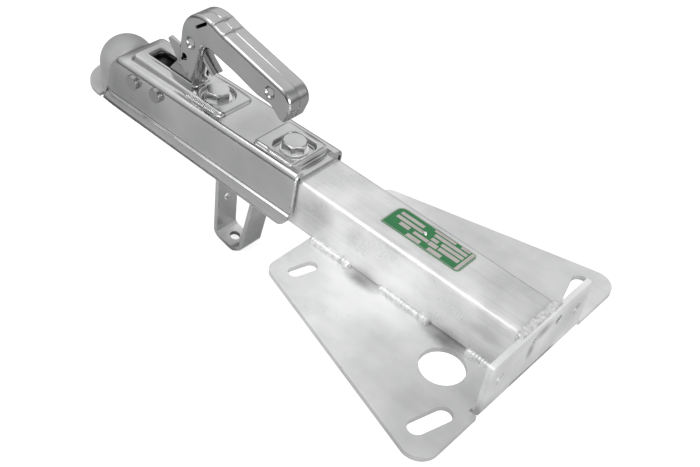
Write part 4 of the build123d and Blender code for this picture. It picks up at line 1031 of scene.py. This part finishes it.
def makeBeads():
    foot, height = beads["foot"]
    paths = [
        [(first, side * foot, height), (last, side * foot, height)]
        for side in (-1, 1)
        for first, last in beads["spans"]
    ]
    sizes = {
        "Radius": beads["radius"] * mm,
        "Ripple": beads["ripple"],
        "Ripple Spacing": beads["rippleSpacing"] * mm,
        "Roughness": beads["roughness"] * mm,
        "Seed": beads["seed"],
    }
    mesh = grow("weldBeads", pathMesh("weldBeads", paths), beadTree(weldZinc, sizes), sizes)
    addPiece("weldBeads", mesh, weldZinc, "root", ["plate_welds"])
    print("weld beads", len(mesh.polygons), "faces")


makeBeads()


# The bead between the tube's end and the flap, laid over again and rough
endWeld = {
    "grain": 1.3,  # longest edge
    "passes": 5,
    "lumps": 0.7,
    "lumpScale": 250,
    "pitting": 0.22,
    "pitScale": 640,
}


def makeEndWeld():
    work = joinedCopy("end_weld")
    for _ in range(endWeld["passes"]):
        long = [e for e in work.edges if e.calc_length() > endWeld["grain"] * mm]
        if not long:
            break
        bmesh.ops.subdivide_edges(work, edges=long, cuts=1, use_grid_fill=True)
        bmesh.ops.triangulate(work, faces=[f for f in work.faces if len(f.verts) > 3])
    work.normal_update()
    pushes = []
    for vert in work.verts:
        lump = noise.noise(vert.co * endWeld["lumpScale"]) * endWeld["lumps"]
        pit = min(0, noise.noise(vert.co * endWeld["pitScale"])) * endWeld["pitting"]
        pushes.append((vert, vert.normal * (lump + pit) * mm))
    for vert, push in pushes:
        vert.co += push
    mesh = finishedMesh("endWeld", work, sharpAngle=70)
    addPiece("endWeld", mesh, roughWeld, "root", ["end_weld"])
    print("end weld", len(mesh.polygons), "faces")


makeEndWeld()


# Torsion springs: close turns round their pins, with a straight leg at either end
springs = {
    "wire": 1.9,
    "steps": 24,  # to one turn
    "legRows": 5,
    "list": (
        # name, node, body, centre x and z, radius of the turns, first y and length, then the
        # angle and reach of the first leg and of the last, in degrees and millimetres
        ("jawSpring", "jaw_spring", "root", 55.0, 17.0, 8.2, 20.8, 9.0, 205, 18.0, -20, 16.2),
        ("handleSpring", "handle_spring", "root", 93.0, 20.5, 8.2, 10.0, 9.0, 230, 14.4, -20, 18.0),
        ("catchSpring", "catch_spring", "handle", 121.6, 92.5, 5.6, 0.3, 4.0, 150, 8.1, -95, 9.0),
    ),
}


def springTree(paint, sizes):
    tree = newTree("closeSpring", sizes)
    start = addNode(tree, "NodeGroupInput")
    half = addNode(tree, "ShaderNodeMath", {1: 0.5}, operation="MULTIPLY")
    path = addNode(tree, "GeometryNodeMeshToCurve")
    ring = addNode(tree, "GeometryNodeCurvePrimitiveCircle", {"Resolution": 12})
    skin = addNode(tree, "GeometryNodeCurveToMesh", {"Fill Caps": True})
    smooth = addNode(tree, "GeometryNodeSetShadeSmooth")
    real = addNode(tree, "GeometryNodeRealizeInstances")
    coat = addNode(tree, "GeometryNodeSetMaterial", {"Material": paint})
    finish = addNode(tree, "NodeGroupOutput")
    link(
        tree,
        (start.outputs["Geometry"], path.inputs[0]),
        (start.outputs["Wire"], half.inputs[0]),
        (half.outputs[0], ring.inputs["Radius"]),
        (path.outputs[0], skin.inputs["Curve"]),
        (ring.outputs[0], skin.inputs["Profile Curve"]),
        (skin.outputs[0], smooth.inputs["Geometry"]),
        (smooth.outputs[0], real.inputs[0]),
        (real.outputs[0], coat.inputs["Geometry"]),
        (coat.outputs[0], finish.inputs[0]),
    )
    return tree


def springPath(x, z, radius, first, length, angleIn, reachIn, angleOut, reachOut):
    wire = springs["wire"]
    start, end = math.radians(angleIn + 90), math.radians(angleOut - 90)
    low, high = first + wire / 2, first + length - wire / 2
    turns = max(1, math.floor((high - low) / wire))
    sweep = (end - start) % (2 * math.pi) + 2 * math.pi * (turns - 1)
    points = []

    def onTurn(angle, y, along=0.0):
        cosine, sine = math.cos(angle), math.sin(angle)
        return (x + radius * cosine - along * sine, y, z + radius * sine + along * cosine)

    for row in range(springs["legRows"]):
        points.append(onTurn(start, low, along=-reachIn * (1 - row / springs["legRows"])))
    count = round(sweep / (2 * math.pi) * springs["steps"])
    for step in range(count + 1):
        share = step / count
        points.append(onTurn(start + sweep * share, low + (high - low) * share))
    for row in range(1, springs["legRows"] + 1):
        points.append(onTurn(end, high, along=reachOut * row / springs["legRows"]))
    return points


def makeSprings():
    sizes = {"Wire": springs["wire"] * mm}
    tree = springTree(springSteel, sizes)
    for name, node, body, *shape in springs["list"]:
        mesh = grow(name, pathMesh(name, [springPath(*shape)]), tree, sizes)
        addPiece(name, mesh, springSteel, body, [node])
    print("springs wound")


makeSprings()
